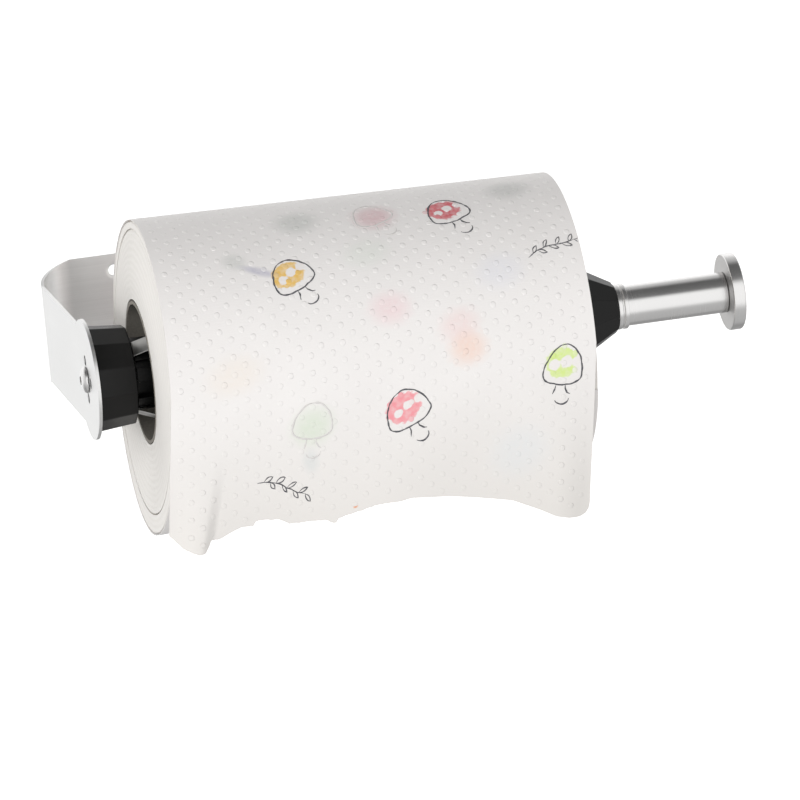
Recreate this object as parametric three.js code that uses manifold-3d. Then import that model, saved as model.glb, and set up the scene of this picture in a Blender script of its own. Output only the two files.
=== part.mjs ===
// A wall-mounted paper towel holder with one bent steel arm, a damped grip hub, a sliding
// guide cone and the roll that it carries. Millimetres, +Z up, +X along the spindle, wall at +Y.
// The origin is on the wall face, at the centre of the four wall holes.
import * as THREE from "three";
import { mergeVertices } from "three/addons/utils/BufferGeometryUtils.js";
import Module from "manifold-3d";

const wasm = await Module();
wasm.setup();

// ---- driving dimensions. x values are counted from the arm's outer face ----
const clearance = 0.3; // between pieces that touch
const running = 0.2; // radial gap of a piece that turns or slides on another
const fineSides = 40;

// wall bracket
const stripThickness = 1.5;
const armHalfWidth = 23;
const roundEndRadius = 28;
const wallToSpindle = 124;
const bendRadius = 17;
const bendSteps = 12;
const plateHalfHeight = 31;
const plateLength = 100;
const plateCornerRadius = 8;
const wallHoleRadius = 2.6;
const wallHoleSinkRadius = 4.3;
const wallHoleSinkDepth = 1.1;
const wallHoleFromArm = 38;
const wallHolePitch = 50;
const wallHoleHeight = 23;

// arm screw and the damper's fixed disc behind it
const screwShankRadius = 3;
const screwHeadRadius = 6.2;
const screwHeadHeight = 2.8;
const screwSocketRadius = 2.2;
const screwSocketDepth = 1.6;
const screwReach = 18;
const statorRim = 3.9;
const statorThickness = 4;
const pegCount = 4;
const pegRadius = 2.2;
const pegToHead = 0.5;

// spindle
const tubeRadius = 9.5;
const tubeWall = 1.3;
const tubePastCollar = 48.1;
const insertLength = 20;
const discRadius = 18.1;
const discThickness = 6;
const discChamfer = 0.8;
const studLength = 20;
const studInDisc = 3.6;

// hub, twelve-sided, drafted towards the roll
const hubSides = 12;
const hubCorner = THREE.MathUtils.degToRad(20);
const hubArmRadius = 24.8;
const hubRollRadius = 23.1;
const hubEnd = 19.6;
const hubWall = 2.6;
const hubWebThickness = 6;
const hubEdge = 0.8;
const bushWall = 1;
const frictionThickness = 1.6;
const waveThickness = 0.5;
const waveHeight = 2.6;
const waveCount = 3;
const waveGap = 1.75;
const waveBand = 6.5;

// grip carrier and its leaf springs
const gripCount = 3;
const gripFirstAngle = THREE.MathUtils.degToRad(51);
const carrierLength = 51.3;
const carrierSkin = 1.1;
const ridgesPerSector = 3;
const ridgeHeight = 2.4;
const ridgeAngle = THREE.MathUtils.degToRad(22);
const ridgeGapAngle = THREE.MathUtils.degToRad(12);
const springSlotAngle = THREE.MathUtils.degToRad(30);
const bossLength = 4.4;
const springThickness = 0.5;
const springWidth = 8;
const springFootReach = 2.5;
const springCornerRadius = 1.3;
const springRise = 1.1;
const springApexFromRoot = 36;
const springTailLength = 14;
const springTailDrop = 6.5;
const gripScrewToBush = 0.35;
const gripScrewRadius = 1.4;
const gripScrewHeadRadius = 2.5;
const gripScrewHeadHeight = 1.8;
const ringThickness = 1.2;
const ringBand = 3.05;
const ringOpeningAngle = THREE.MathUtils.degToRad(70);
const ringGrooveDepth = 0.6;
const thrustThickness = 1;
const thrustBand = 5.05;

// guide cone on its sliding collar
const coneSides = 10;
const coneCorner = THREE.MathUtils.degToRad(-10);
const conePastRoll = 25.3;
const coneLength = 30.4;
const coneToCore = 2.3;
const coneEndWall = 1.3;
const coneWall = 2.2;
const coneBossLength = 24;
const coneBossWall = 2.3;
const coneFloorDepth = 12;
const sleeveWall = 0.6;
const collarShoulder = 0.4;
const collarHeadLength = 4.8;
const collarGrooveWidth = 0.9;
const collarGrooveDepth = 0.5;
const nutWall = 3.3;
const nutLength = 8;
const oRingThickness = 1.9;
const oRingGrooveWidth = 2.6;
const oRingSteps = 8;

// roll
const rollStart = 25.2;
const rollLength = 200;
const rollRadius = 66;
const rollEdge = 1.6;
const coreBore = 31.5;
const coreWall = 1.6;
const sheetThickness = 0.8;
const sheetWrapAngle = THREE.MathUtils.degToRad(150);
const sheetHang = 77;

// ---- sizes worked out from the driving dimensions ----
const armInner = stripThickness + clearance;
const statorEnd = armInner + statorThickness;
const pegRingRadius = screwHeadRadius + pegToHead + pegRadius;
const statorRadius = pegRingRadius + pegRadius + statorRim;
const tubeStart = statorEnd + clearance;
const tubeBore = tubeRadius - tubeWall;
const plugRadius = tubeBore - clearance;
const threadBore = screwShankRadius + clearance;
const slidingBore = tubeRadius + running;
const webStart = hubEnd - hubWebThickness;
const cavityRadius = hubRollRadius - hubWall;
const bushRadius = slidingBore + bushWall;
const frictionEnd = tubeStart + frictionThickness;
const waveStart = frictionEnd + clearance;
const waveEnd = waveStart + waveHeight;
const waveInnerRadius = tubeRadius + waveGap;
const waveOuterRadius = waveInnerRadius + waveBand;
const pressureStart = waveEnd + clearance;
const pressureEnd = webStart - clearance;
const gripScrewHole = gripScrewRadius + clearance;
const gripScrewHeadHole = gripScrewHeadRadius + clearance;
const gripScrewRingRadius = bushRadius + clearance + gripScrewToBush + gripScrewHeadHole;
const carrierStart = hubEnd + springThickness + 2 * clearance;
const carrierEnd = carrierStart + carrierLength;
const carrierRidgeRadius = gripScrewRingRadius + gripScrewHole + carrierSkin;
const carrierFloorRadius = carrierRidgeRadius - ridgeHeight;
const bossEnd = carrierStart + bossLength;
const gripScrewEnd = bossEnd - 2 * clearance;
const springFootRadius = gripScrewRingRadius - springFootReach;
const springRootRadius = carrierRidgeRadius + springRise;
const springApexRadius = Math.sqrt((coreBore - clearance) ** 2 - (springWidth / 2) ** 2);
const thrustStart = carrierEnd + clearance;
const thrustEnd = thrustStart + thrustThickness;
const thrustRadius = slidingBore + thrustBand;
const ringStart = thrustEnd + clearance;
const ringEnd = ringStart + ringThickness;
const ringBore = tubeRadius - ringGrooveDepth + clearance;
const rollEnd = rollStart + rollLength;
const coreRadius = coreBore + coreWall;
const sheetRadius = rollRadius + clearance + sheetThickness / 2;
const sleeveRadius = slidingBore + sleeveWall;
const coneBore = sleeveRadius + running;
const coneEnd = rollEnd + conePastRoll;
const coneStart = coneEnd - coneLength;
const coneStartRadius = coreBore - coneToCore;
const coneEndRadius = coneBore + coneEndWall;
const coneFloor = coneEnd - coneFloorDepth;
const coneBossStart = coneEnd - coneBossLength;
const coneBossRadius = coneBore + coneBossWall;
const collarHeadStart = coneEnd + clearance;
const collarEnd = collarHeadStart + collarHeadLength;
const collarHeadRadius = sleeveRadius + collarShoulder;
const nutEnd = coneBossStart - clearance;
const nutStart = nutEnd - nutLength;
const nutMiddle = (nutStart + nutEnd) / 2;
const nutRadius = slidingBore + nutWall;
const sleeveStart = nutEnd + clearance;
const tubeEnd = collarEnd + tubePastCollar;
const plugStart = tubeEnd - insertLength;
const discStart = tubeEnd + clearance;
const discEnd = discStart + discThickness;
const studEnd = discStart + studInDisc;
const wallHoleCentre = wallHoleFromArm + wallHolePitch / 2;

// ---- finishes ----
function finish(color, roughness, metalness) {
  return new THREE.MeshStandardMaterial({ color, roughness, metalness });
}
const brushedSteel = finish(0xc9c9c7, 0.38, 0.95);
const polishedSteel = finish(0xd4d4d2, 0.2, 1);
const springSteel = finish(0xa9a9a6, 0.35, 0.95);
const blackPlastic = finish(0x262626, 0.5, 0);
const nylon = finish(0xe6e2d6, 0.5, 0);
const fibre = finish(0x6b4a33, 0.8, 0);
const brass = finish(0xc8a45a, 0.35, 0.9);
const rubber = finish(0x1c1c1c, 0.85, 0);
const cardboard = finish(0xb9b2a6, 0.9, 0);
const paper = finish(0xf3f0ec, 0.9, 0);

// ---- making and cutting solids ----
function toSolid(geometry) {
  const bare = geometry.clone();
  bare.deleteAttribute("normal");
  bare.deleteAttribute("uv");
  const merged = mergeVertices(bare, 1e-4);
  const vertProperties = new Float32Array(merged.attributes.position.array);
  const triVerts = new Uint32Array(merged.index.array);
  return new wasm.Manifold(new wasm.Mesh({ numProp: 3, vertProperties, triVerts }));
}

function toGeometry(solid) {
  const mesh = solid.getMesh();
  const geometry = new THREE.BufferGeometry();
  geometry.setAttribute("position", new THREE.BufferAttribute(mesh.vertProperties, 3));
  geometry.setIndex(new THREE.BufferAttribute(mesh.triVerts, 1));
  geometry.computeVertexNormals();
  return geometry;
}

function cut(geometry, tools) {
  return toGeometry(tools.reduce((solid, tool) => solid.subtract(toSolid(tool)), toSolid(geometry)));
}

function join(geometries) {
  const [first, ...rest] = geometries.map(toSolid);
  return toGeometry(rest.reduce((solid, next) => solid.add(next), first));
}

// Angles round the spindle start at the front, -Y, and grow towards the top, +Z.
function aroundSpindle(radius, angle) {
  return { y: -radius * Math.cos(angle), z: radius * Math.sin(angle) };
}

// Turns a profile of [x, radius] points round the spindle.
function turned(profile, sides = fineSides, corner = 0) {
  const points = profile.map(([x, radius]) => new THREE.Vector2(radius, x));
  const lathe = new THREE.LatheGeometry(points, sides, -corner);
  const xAxis = new THREE.Vector3(0, 0, -1);
  const yAxis = new THREE.Vector3(1, 0, 0);
  const zAxis = new THREE.Vector3(0, -1, 0);
  return lathe.applyMatrix4(new THREE.Matrix4().makeBasis(xAxis, yAxis, zAxis));
}

// A plain ring with a rectangular section.
function ring(start, end, bore, radius, sides = fineSides, corner = 0) {
  const profile = [
    [start, bore],
    [start, radius],
    [end, radius],
    [end, bore],
    [start, bore],
  ];
  return turned(profile, sides, corner);
}

// A solid rod on the spindle's axis, or beside it at a radius and an angle.
function rod(start, end, radius, sides = 24, ringRadius = 0, angle = 0) {
  const profile = [
    [start, 0],
    [start, radius],
    [end, radius],
    [end, 0],
  ];
  const { y, z } = aroundSpindle(ringRadius, angle);
  return turned(profile, sides).translate(0, y, z);
}

// Extrudes a shape drawn in the spindle's cross-section: its x is forward, its y is up.
function extrudeAlongSpindle(shape, start, end, curveSegments = 12) {
  const settings = { depth: end - start, bevelEnabled: false, curveSegments };
  const geometry = new THREE.ExtrudeGeometry(shape, settings);
  const xAxis = new THREE.Vector3(0, -1, 0);
  const yAxis = new THREE.Vector3(0, 0, 1);
  const zAxis = new THREE.Vector3(-1, 0, 0);
  geometry.applyMatrix4(new THREE.Matrix4().makeBasis(xAxis, yAxis, zAxis));
  return geometry.translate(end, 0, 0);
}

// The outline of a strip of constant thickness that follows a line of points.
function stripOutline(points, thickness) {
  const sides = points.map((point, i) => {
    const before = points[Math.max(i - 1, 0)];
    const after = points[Math.min(i + 1, points.length - 1)];
    const along = after.clone().sub(before).normalize();
    const offset = new THREE.Vector2(-along.y, along.x).multiplyScalar(thickness / 2);
    return [point.clone().sub(offset), point.clone().add(offset)];
  });
  const near = sides.map(([side]) => side);
  const far = sides.map(([, side]) => side).reverse();
  return new THREE.Shape([...near, ...far]);
}

function gripAngles() {
  return Array.from({ length: gripCount }, (_, i) => gripFirstAngle - (i * 2 * Math.PI) / gripCount);
}

// ---- bracket ----
// The arm and the bend are one strip, which widens from the arm to the wall plate in the bend.
function bentStrip() {
  const bendY = wallToSpindle - bendRadius;
  const stations = [{ x: 0, y: 0, inX: 1, inY: 0, half: armHalfWidth }];
  for (let i = 0; i <= bendSteps; i++) {
    const turn = (i / bendSteps) * (Math.PI / 2);
    stations.push({
      x: bendRadius * (1 - Math.cos(turn)),
      y: bendY + bendRadius * Math.sin(turn),
      inX: Math.cos(turn),
      inY: -Math.sin(turn),
      half: THREE.MathUtils.lerp(armHalfWidth, plateHalfHeight, i / bendSteps),
    });
  }
  const last = stations[stations.length - 1];
  stations.push({ ...last, x: bendRadius + stripThickness });
  const count = stations.length - 1;
  const geometry = new THREE.BoxGeometry(1, 1, 1, 1, 1, count);
  const position = geometry.getAttribute("position");
  for (let i = 0; i < position.count; i++) {
    const station = stations[Math.round((position.getZ(i) + 0.5) * count)];
    const depth = (0.5 - position.getX(i)) * stripThickness;
    const height = 2 * position.getY(i) * station.half;
    position.setXYZ(i, station.x + station.inX * depth, station.y + station.inY * depth, height);
  }
  return geometry;
}

function wallPlate() {
  const right = plateLength;
  const top = plateHalfHeight;
  const corner = plateCornerRadius;
  const shape = new THREE.Shape();
  shape.moveTo(bendRadius, -top);
  shape.lineTo(right - corner, -top);
  shape.absarc(right - corner, -top + corner, corner, -Math.PI / 2, 0);
  shape.absarc(right - corner, top - corner, corner, 0, Math.PI / 2);
  shape.lineTo(bendRadius, top);
  const settings = { depth: stripThickness, bevelEnabled: false, curveSegments: 8 };
  const geometry = new THREE.ExtrudeGeometry(shape, settings);
  return geometry.rotateX(Math.PI / 2).translate(0, wallToSpindle, 0);
}

function wallHole(x, z) {
  const front = wallToSpindle - stripThickness;
  const profile = [
    [front - 1, 0],
    [front - 1, wallHoleSinkRadius],
    [front, wallHoleSinkRadius],
    [front + wallHoleSinkDepth, wallHoleRadius],
    [wallToSpindle + 1, wallHoleRadius],
    [wallToSpindle + 1, 0],
  ];
  const points = profile.map(([y, radius]) => new THREE.Vector2(radius, y));
  return new THREE.LatheGeometry(points, 24).translate(x, 0, z);
}

function wallBracket() {
  const blank = join([bentStrip(), wallPlate(), rod(0, stripThickness, roundEndRadius, 72)]);
  const holes = [rod(-1, stripThickness + 1, threadBore)];
  for (let i = 0; i < pegCount; i++) {
    const angle = (i / pegCount) * 2 * Math.PI;
    holes.push(rod(-1, stripThickness + 1, pegRadius + clearance, 20, pegRingRadius, angle));
  }
  for (const x of [wallHoleFromArm, wallHoleFromArm + wallHolePitch]) {
    for (const z of [-wallHoleHeight, wallHoleHeight]) holes.push(wallHole(x, z));
  }
  return cut(blank, holes);
}

function armScrew() {
  const domeSteps = 8;
  const profile = [[-clearance - screwHeadHeight, 0]];
  for (let i = 1; i <= domeSteps; i++) {
    const turn = (i / domeSteps) * (Math.PI / 2);
    profile.push([-clearance - screwHeadHeight * Math.cos(turn), screwHeadRadius * Math.sin(turn)]);
  }
  profile.push([-clearance, screwShankRadius], [screwReach, screwShankRadius], [screwReach, 0]);
  const outer = -clearance - screwHeadHeight;
  const socket = rod(outer - 1, outer + screwSocketDepth, screwSocketRadius, 6);
  return cut(turned(profile, 40), [socket]);
}

// The pegs stand in the arm's holes, so the disc can't turn with the hub.
function damperStator() {
  const disc = rod(armInner, statorEnd, statorRadius, fineSides);
  const pegs = [];
  for (let i = 0; i < pegCount; i++) {
    pegs.push(rod(clearance, statorEnd, pegRadius, 20, pegRingRadius, (i / pegCount) * 2 * Math.PI));
  }
  return cut(join([disc, ...pegs]), [rod(0, statorEnd + 1, threadBore)]);
}

// ---- spindle ----
function spindleTube() {
  const groove = tubeRadius - ringGrooveDepth;
  const grooveStart = ringStart - clearance;
  const grooveEnd = ringEnd + clearance;
  return turned([
    [tubeStart, tubeBore],
    [tubeStart, tubeRadius],
    [grooveStart, tubeRadius],
    [grooveStart, groove],
    [grooveEnd, groove],
    [grooveEnd, tubeRadius],
    [tubeEnd, tubeRadius],
    [tubeEnd, tubeBore],
    [tubeStart, tubeBore],
  ]);
}

function endDisc() {
  const boreEnd = studEnd + clearance;
  const profile = [
    [discStart, threadBore],
    [discStart, discRadius - discChamfer],
    [discStart + discChamfer, discRadius],
    [discEnd - discChamfer, discRadius],
    [discEnd, discRadius - discChamfer],
    [discEnd, 0],
    [boreEnd, 0],
    [boreEnd, threadBore],
    [discStart, threadBore],
  ];
  return turned(profile, 72);
}

// An open ring that snaps into the tube's groove.
function retainingRing() {
  const half = ringOpeningAngle / 2;
  const shape = new THREE.Shape();
  shape.absarc(0, 0, ringBore + ringBand, half, 2 * Math.PI - half);
  shape.absarc(0, 0, ringBore, 2 * Math.PI - half, half, true);
  return extrudeAlongSpindle(shape, ringStart, ringEnd, 24);
}

// ---- hub ----
function hubShell() {
  const outer = [
    [armInner, 0],
    [armInner, hubArmRadius - hubEdge],
    [armInner + hubEdge, hubArmRadius],
    [hubEnd - hubEdge, hubRollRadius],
    [hubEnd, hubRollRadius - hubEdge],
    [hubEnd, 0],
  ];
  const cavity = [
    [armInner - 1, 0],
    [armInner - 1, hubArmRadius - hubWall],
    [webStart, cavityRadius],
    [webStart, 0],
  ];
  const tools = [
    turned(cavity, hubSides, hubCorner),
    rod(webStart - 1, hubEnd + 1, bushRadius + clearance, fineSides),
  ];
  for (const angle of gripAngles()) {
    const sunk = webStart + gripScrewHeadHeight + clearance;
    tools.push(rod(webStart - 1, hubEnd + 1, gripScrewHole, 16, gripScrewRingRadius, angle));
    tools.push(rod(webStart - 1, sunk, gripScrewHeadHole, 20, gripScrewRingRadius, angle));
  }
  return cut(turned(outer, hubSides, hubCorner), tools);
}

// The damper's washers have the cavity's twelve sides, so they turn with the hub.
function keyedWasher(start, end) {
  const outer = rod(start, end, cavityRadius - clearance, hubSides);
  outer.rotateX(-hubCorner);
  return cut(outer, [rod(start - 1, end + 1, slidingBore, fineSides)]);
}

function waveWasher() {
  const middle = (waveStart + waveEnd) / 2;
  const swing = (waveHeight - waveThickness) / 2;
  const geometry = ring(-waveThickness / 2, waveThickness / 2, waveInnerRadius, waveOuterRadius);
  const position = geometry.getAttribute("position");
  for (let i = 0; i < position.count; i++) {
    const angle = Math.atan2(position.getZ(i), -position.getY(i));
    position.setX(i, position.getX(i) + middle + swing * Math.cos(waveCount * angle));
  }
  return geometry;
}

function gripScrew(angle) {
  const headEnd = webStart + gripScrewHeadHeight;
  const head = rod(webStart, headEnd, gripScrewHeadRadius, 20, gripScrewRingRadius, angle);
  const shank = rod(headEnd - 0.2, gripScrewEnd, gripScrewRadius, 16, gripScrewRingRadius, angle);
  const slot = rod(webStart - 1, webStart + 1, gripScrewRadius, 6, gripScrewRingRadius, angle);
  return cut(join([head, shank]), [slot]);
}

// The carrier's cross-section: groups of ridges, with a wider slot at each spring.
function carrierSection(slotRadius, start, end) {
  const shape = new THREE.Shape();
  for (const spring of gripAngles().reverse()) {
    for (let i = 0; i < ridgesPerSector; i++) {
      const from = spring + springSlotAngle / 2 + i * (ridgeAngle + ridgeGapAngle);
      const to = from + ridgeAngle;
      const last = i === ridgesPerSector - 1;
      const gapRadius = last ? slotRadius : carrierFloorRadius;
      const gapAngle = last ? springSlotAngle : ridgeGapAngle;
      shape.absarc(0, 0, carrierRidgeRadius, from, to);
      shape.absarc(0, 0, gapRadius, to, to + gapAngle);
    }
  }
  return extrudeAlongSpindle(shape, start, end, 4);
}

// The slots are filled near the hub, where the screws that clamp the springs end.
function gripCarrier() {
  const filled = carrierSection(carrierRidgeRadius, carrierStart, bossEnd);
  const slotted = carrierSection(carrierFloorRadius, bossEnd, carrierEnd);
  const tools = [rod(carrierStart - 1, carrierEnd + 1, slidingBore, fineSides)];
  const holeEnd = gripScrewEnd + clearance / 2;
  for (const angle of gripAngles()) {
    tools.push(rod(carrierStart - 1, holeEnd, gripScrewHole, 16, gripScrewRingRadius, angle));
  }
  return cut(join([filled, slotted]), tools);
}

// A leaf: its foot is clamped behind the carrier, and its back bows out to the core's bore.
function gripSpring(angle) {
  const footX = hubEnd + clearance + springThickness / 2;
  const rootX = footX + springCornerRadius;
  const apex = springApexRadius - springThickness / 2;
  const leaf = new THREE.SplineCurve([
    new THREE.Vector2(rootX, springRootRadius),
    new THREE.Vector2(rootX + springApexFromRoot * 0.55, springRootRadius + (apex - springRootRadius) * 0.62),
    new THREE.Vector2(rootX + springApexFromRoot, apex),
    new THREE.Vector2(rootX + springApexFromRoot + springTailLength, apex - springTailDrop),
  ]);
  const bow = springCornerRadius * (1 - Math.SQRT1_2);
  const points = [
    new THREE.Vector2(footX, springFootRadius),
    new THREE.Vector2(footX, springRootRadius - springCornerRadius),
    new THREE.Vector2(footX + bow, springRootRadius - bow),
    ...leaf.getPoints(20),
  ];
  const shape = stripOutline(points, springThickness);
  const settings = { depth: springWidth, bevelEnabled: false };
  const strip = new THREE.ExtrudeGeometry(shape, settings).rotateX(Math.PI / 2);
  strip.translate(0, springWidth / 2, 0).rotateX(Math.PI / 2 - angle);
  const hole = rod(hubEnd, carrierStart, gripScrewHole, 16, gripScrewRingRadius, angle);
  return cut(strip, [hole]);
}

// ---- cone and collar ----
function guideCone() {
  const outer = [
    [coneStart, 0],
    [coneStart, coneStartRadius],
    [coneEnd, coneEndRadius],
    [coneEnd, 0],
  ];
  const flat = Math.cos(Math.PI / coneSides);
  const slope = (coneStartRadius - coneEndRadius) / (coneEnd - coneStart);
  const floorRadius = coneStartRadius - slope * (coneFloor - coneStart);
  const hollow = [
    [coneStart - 1, 0],
    [coneStart - 1, (coneStartRadius + slope) * flat - coneWall],
    [coneFloor, floorRadius * flat - coneWall],
    [coneFloor, coneBossRadius],
    [coneBossStart, coneBossRadius],
    [coneBossStart, coneBore],
    [coneEnd + 1, coneBore],
    [coneEnd + 1, 0],
  ];
  return cut(turned(outer, coneSides, coneCorner), [turned(hollow, 60)]);
}

function coneCollar() {
  const grooveStart = collarHeadStart + (collarHeadLength - collarGrooveWidth) / 2;
  const grooveEnd = grooveStart + collarGrooveWidth;
  const grooveRadius = collarHeadRadius - collarGrooveDepth;
  return turned([
    [sleeveStart, slidingBore],
    [sleeveStart, sleeveRadius],
    [collarHeadStart, sleeveRadius],
    [collarHeadStart, collarHeadRadius],
    [grooveStart, collarHeadRadius],
    [grooveStart, grooveRadius],
    [grooveEnd, grooveRadius],
    [grooveEnd, collarHeadRadius],
    [collarEnd, collarHeadRadius],
    [collarEnd, slidingBore],
    [sleeveStart, slidingBore],
  ]);
}

function coneNut() {
  const grooveStart = nutMiddle - oRingGrooveWidth / 2;
  const grooveEnd = nutMiddle + oRingGrooveWidth / 2;
  const grooveRadius = slidingBore + oRingThickness;
  return turned([
    [nutStart, slidingBore],
    [nutStart, nutRadius],
    [nutEnd, nutRadius],
    [nutEnd, slidingBore],
    [grooveEnd, slidingBore],
    [grooveEnd, grooveRadius],
    [grooveStart, grooveRadius],
    [grooveStart, slidingBore],
    [nutStart, slidingBore],
  ]);
}

// A ring of round section that rubs on the tube and holds the cone where it is pushed.
function coneORing() {
  const section = (oRingThickness - clearance) / 2;
  const centre = slidingBore - running / 2 + section;
  const profile = [];
  for (let i = 0; i <= oRingSteps; i++) {
    const turn = (i / oRingSteps) * 2 * Math.PI;
    profile.push([nutMiddle - section * Math.cos(turn), centre + section * Math.sin(turn)]);
  }
  return turned(profile);
}

// ---- roll ----
function towelRoll() {
  const bore = coreRadius + clearance;
  return turned(
    [
      [rollStart, bore],
      [rollStart, rollRadius - rollEdge],
      [rollStart + rollEdge * 0.3, rollRadius - rollEdge * 0.3],
      [rollStart + rollEdge, rollRadius],
      [rollEnd - rollEdge, rollRadius],
      [rollEnd - rollEdge * 0.3, rollRadius - rollEdge * 0.3],
      [rollEnd, rollRadius - rollEdge],
      [rollEnd, bore],
      [rollStart, bore],
    ],
    72,
  );
}

// The last turn of towel: from behind the roll, over the top, down the front and hanging free.
function towelTail() {
  const wrapSteps = 30;
  const points = [];
  for (let i = 0; i <= wrapSteps; i++) {
    const angle = sheetWrapAngle * (1 - i / wrapSteps);
    points.push(new THREE.Vector2(sheetRadius * Math.cos(angle), sheetRadius * Math.sin(angle)));
  }
  points.push(new THREE.Vector2(sheetRadius, -sheetHang));
  return extrudeAlongSpindle(stripOutline(points.reverse(), sheetThickness), rollStart, rollEnd);
}

// ---- assembly ----
const holder = new THREE.Group();
const spindleFrame = new THREE.Group();
spindleFrame.position.set(-wallHoleCentre, -wallToSpindle, 0);
holder.add(spindleFrame);

function add(name, geometry, material) {
  const mesh = new THREE.Mesh(geometry, material);
  mesh.name = name;
  spindleFrame.add(mesh);
}

add("wall_bracket", wallBracket(), brushedSteel);
add("arm_screw", armScrew(), polishedSteel);
add("damper_stator", damperStator(), blackPlastic);
add("tube_insert", ring(tubeStart, tubeStart + insertLength, threadBore, plugRadius), brass);
add("spindle_tube", spindleTube(), polishedSteel);
add("end_plug", ring(plugStart, tubeEnd, threadBore, plugRadius), brass);
add("end_stud", rod(studEnd - studLength, studEnd, screwShankRadius), polishedSteel);
add("end_disc", endDisc(), polishedSteel);
add("thrust_washer", ring(thrustStart, thrustEnd, slidingBore, thrustRadius), nylon);
add("retaining_ring", retainingRing(), springSteel);

add("hub_shell", hubShell(), blackPlastic);
add("hub_bush", ring(webStart, hubEnd, slidingBore, bushRadius), nylon);
add("friction_washer", keyedWasher(tubeStart, frictionEnd), fibre);
add("wave_washer", waveWasher(), springSteel);
add("pressure_plate", keyedWasher(pressureStart, pressureEnd), springSteel);
add("grip_carrier", gripCarrier(), blackPlastic);
gripAngles().forEach((angle, i) => {
  add(`grip_spring_${i + 1}`, gripSpring(angle), springSteel);
  add(`grip_screw_${i + 1}`, gripScrew(angle), polishedSteel);
});

add("guide_cone", guideCone(), blackPlastic);
add("cone_collar", coneCollar(), polishedSteel);
add("cone_nut", coneNut(), brass);
add("cone_o_ring", coneORing(), rubber);

add("roll_core", ring(rollStart, rollEnd, coreBore, coreRadius, 72), cardboard);
add("towel_roll", towelRoll(), paper);
add("towel_tail", towelTail(), paper);

export default holder;
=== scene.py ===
# Looks of a wall-mounted paper towel holder: brushed steel bracket, damped grip hub, sliding
# guide cone, steel spindle and a printed towel roll whose last turn hangs loose.
# Sizes are millimetres unless a name ends in _m. A place is given by three numbers: x from the
# arm's outer face, forward of the spindle, and up from it. Angles round the spindle are degrees,
# 0 at the front and 90 at the top.
import math

import bmesh
import bpy
from mathutils import Matrix, Vector, noise


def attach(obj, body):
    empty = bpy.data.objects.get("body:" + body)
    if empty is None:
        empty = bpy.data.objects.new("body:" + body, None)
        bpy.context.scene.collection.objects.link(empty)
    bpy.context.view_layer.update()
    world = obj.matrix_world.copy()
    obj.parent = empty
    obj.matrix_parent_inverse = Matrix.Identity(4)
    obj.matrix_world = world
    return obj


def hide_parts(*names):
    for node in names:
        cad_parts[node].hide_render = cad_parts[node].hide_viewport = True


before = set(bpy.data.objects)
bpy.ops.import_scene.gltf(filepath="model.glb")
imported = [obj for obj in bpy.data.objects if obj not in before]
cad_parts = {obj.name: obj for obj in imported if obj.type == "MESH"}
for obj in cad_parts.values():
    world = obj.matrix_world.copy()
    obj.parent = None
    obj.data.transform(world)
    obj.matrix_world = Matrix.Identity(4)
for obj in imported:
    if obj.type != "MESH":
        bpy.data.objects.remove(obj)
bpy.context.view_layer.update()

MM = 0.001
ARM_FACE = -63
SPINDLE_AXIS = -124

# bracket, arm screw, tube and end disc: a name without START or END is a radius, a half-width or
# a depth, and START and END are places along the spindle from the arm's outer face
ARM_HALF = 23
ROUND_END = 28
ARM_LENGTH = 124
STRIP = 1.5
BEND = 17
PLATE_HALF = 31
PLATE_END = 100
PLATE_CORNER = 8
PEG_RING = 8.9
PEG_HOLE = 2.5
SCREW_HOLE = 3.3
WALL_HOLE = 2.6
WALL_HOLE_SINK = 4.5
WALL_HOLE_X = (38, 88)
WALL_HOLE_UP = (-23, 23)
SCREW_HEAD = 6.2
SCREW_DOME = 2.6
SCREW_SHANK = 3
SCREW_SOCKET = 2.3
TUBE = 9.5
TUBE_BORE = 8.2
TUBE_START = 6.1
TUBE_END = 303.7
RING_GROOVE = (73.3, 75.1)
RING_GROOVE_DEPTH = 0.6
DISC = 18.1
DISC_START = 304
DISC_END = 310
STUD_HOLE = 3.3
STUD_HOLE_END = 307.9
SLIDING_BORE = TUBE + 0.2

# hub and grip
HUB_SIDES = 12
HUB_CORNER = 20
HUB_START = 1.8
HUB_WEB = 13.6
HUB_END = 19.6
HUB_AT_ARM = 24.8
HUB_AT_ROLL = 23.1
HUB_BORE = 11.25
HUB_CAVITY = (22.2, 20.5)
CARRIER_START = 20.7
CARRIER_END = 72
RIB = 16.95
RIB_HEIGHT = 2.4
RIB_ROOT = RIB - 3.2
RIB_STEP = 34
BOSS_END = 25.1
GRIPS = 3
GRIP_ANGLE = 51

# guide cone and its collar
CONE_SIDES = 10
CONE_CORNER = -10
CONE_START = 220.1
CONE_BOSS_START = 226.5
CONE_FLOOR = 238.5
CONE_END = 250.5
CONE_AT_ROLL = 29.2
CONE_AT_END = 11.8
CONE_BORE = 11.1
CONE_BOSS = 13.4
CONE_CAVITY = (26.9, 16.2)
SLEEVE = 10.3
COLLAR = 10.7
COLLAR_START = 250.8
COLLAR_END = 255.6
COLLAR_GROOVE = 0.5

# roll and towel. The loose turn starts at WRAP_FROM degrees, WRAP long on the flat, and its
# embossing is laid down to LOWEST below the front. LEAN is how far each hanging millimetre steps
# to the left.
ROLL_START = 25.2
ROLL_LENGTH = 200
ROLL = 66
CORE_BORE = 31.5
CORE = 33.1
LAYER = 0.74
SHEET = 0.35
WRAP_FROM = 340
WRAP_RADIUS = ROLL + 2.6
WRAP = math.radians(WRAP_FROM) * WRAP_RADIUS
LOWEST = 82
LEAN = 0.115
DOT_ACROSS = 10.3
DOT_DOWN = 3.95
DOT = 1.55
DOT_HIGH = 0.125
DOT_SUNK = 0.055

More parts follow.
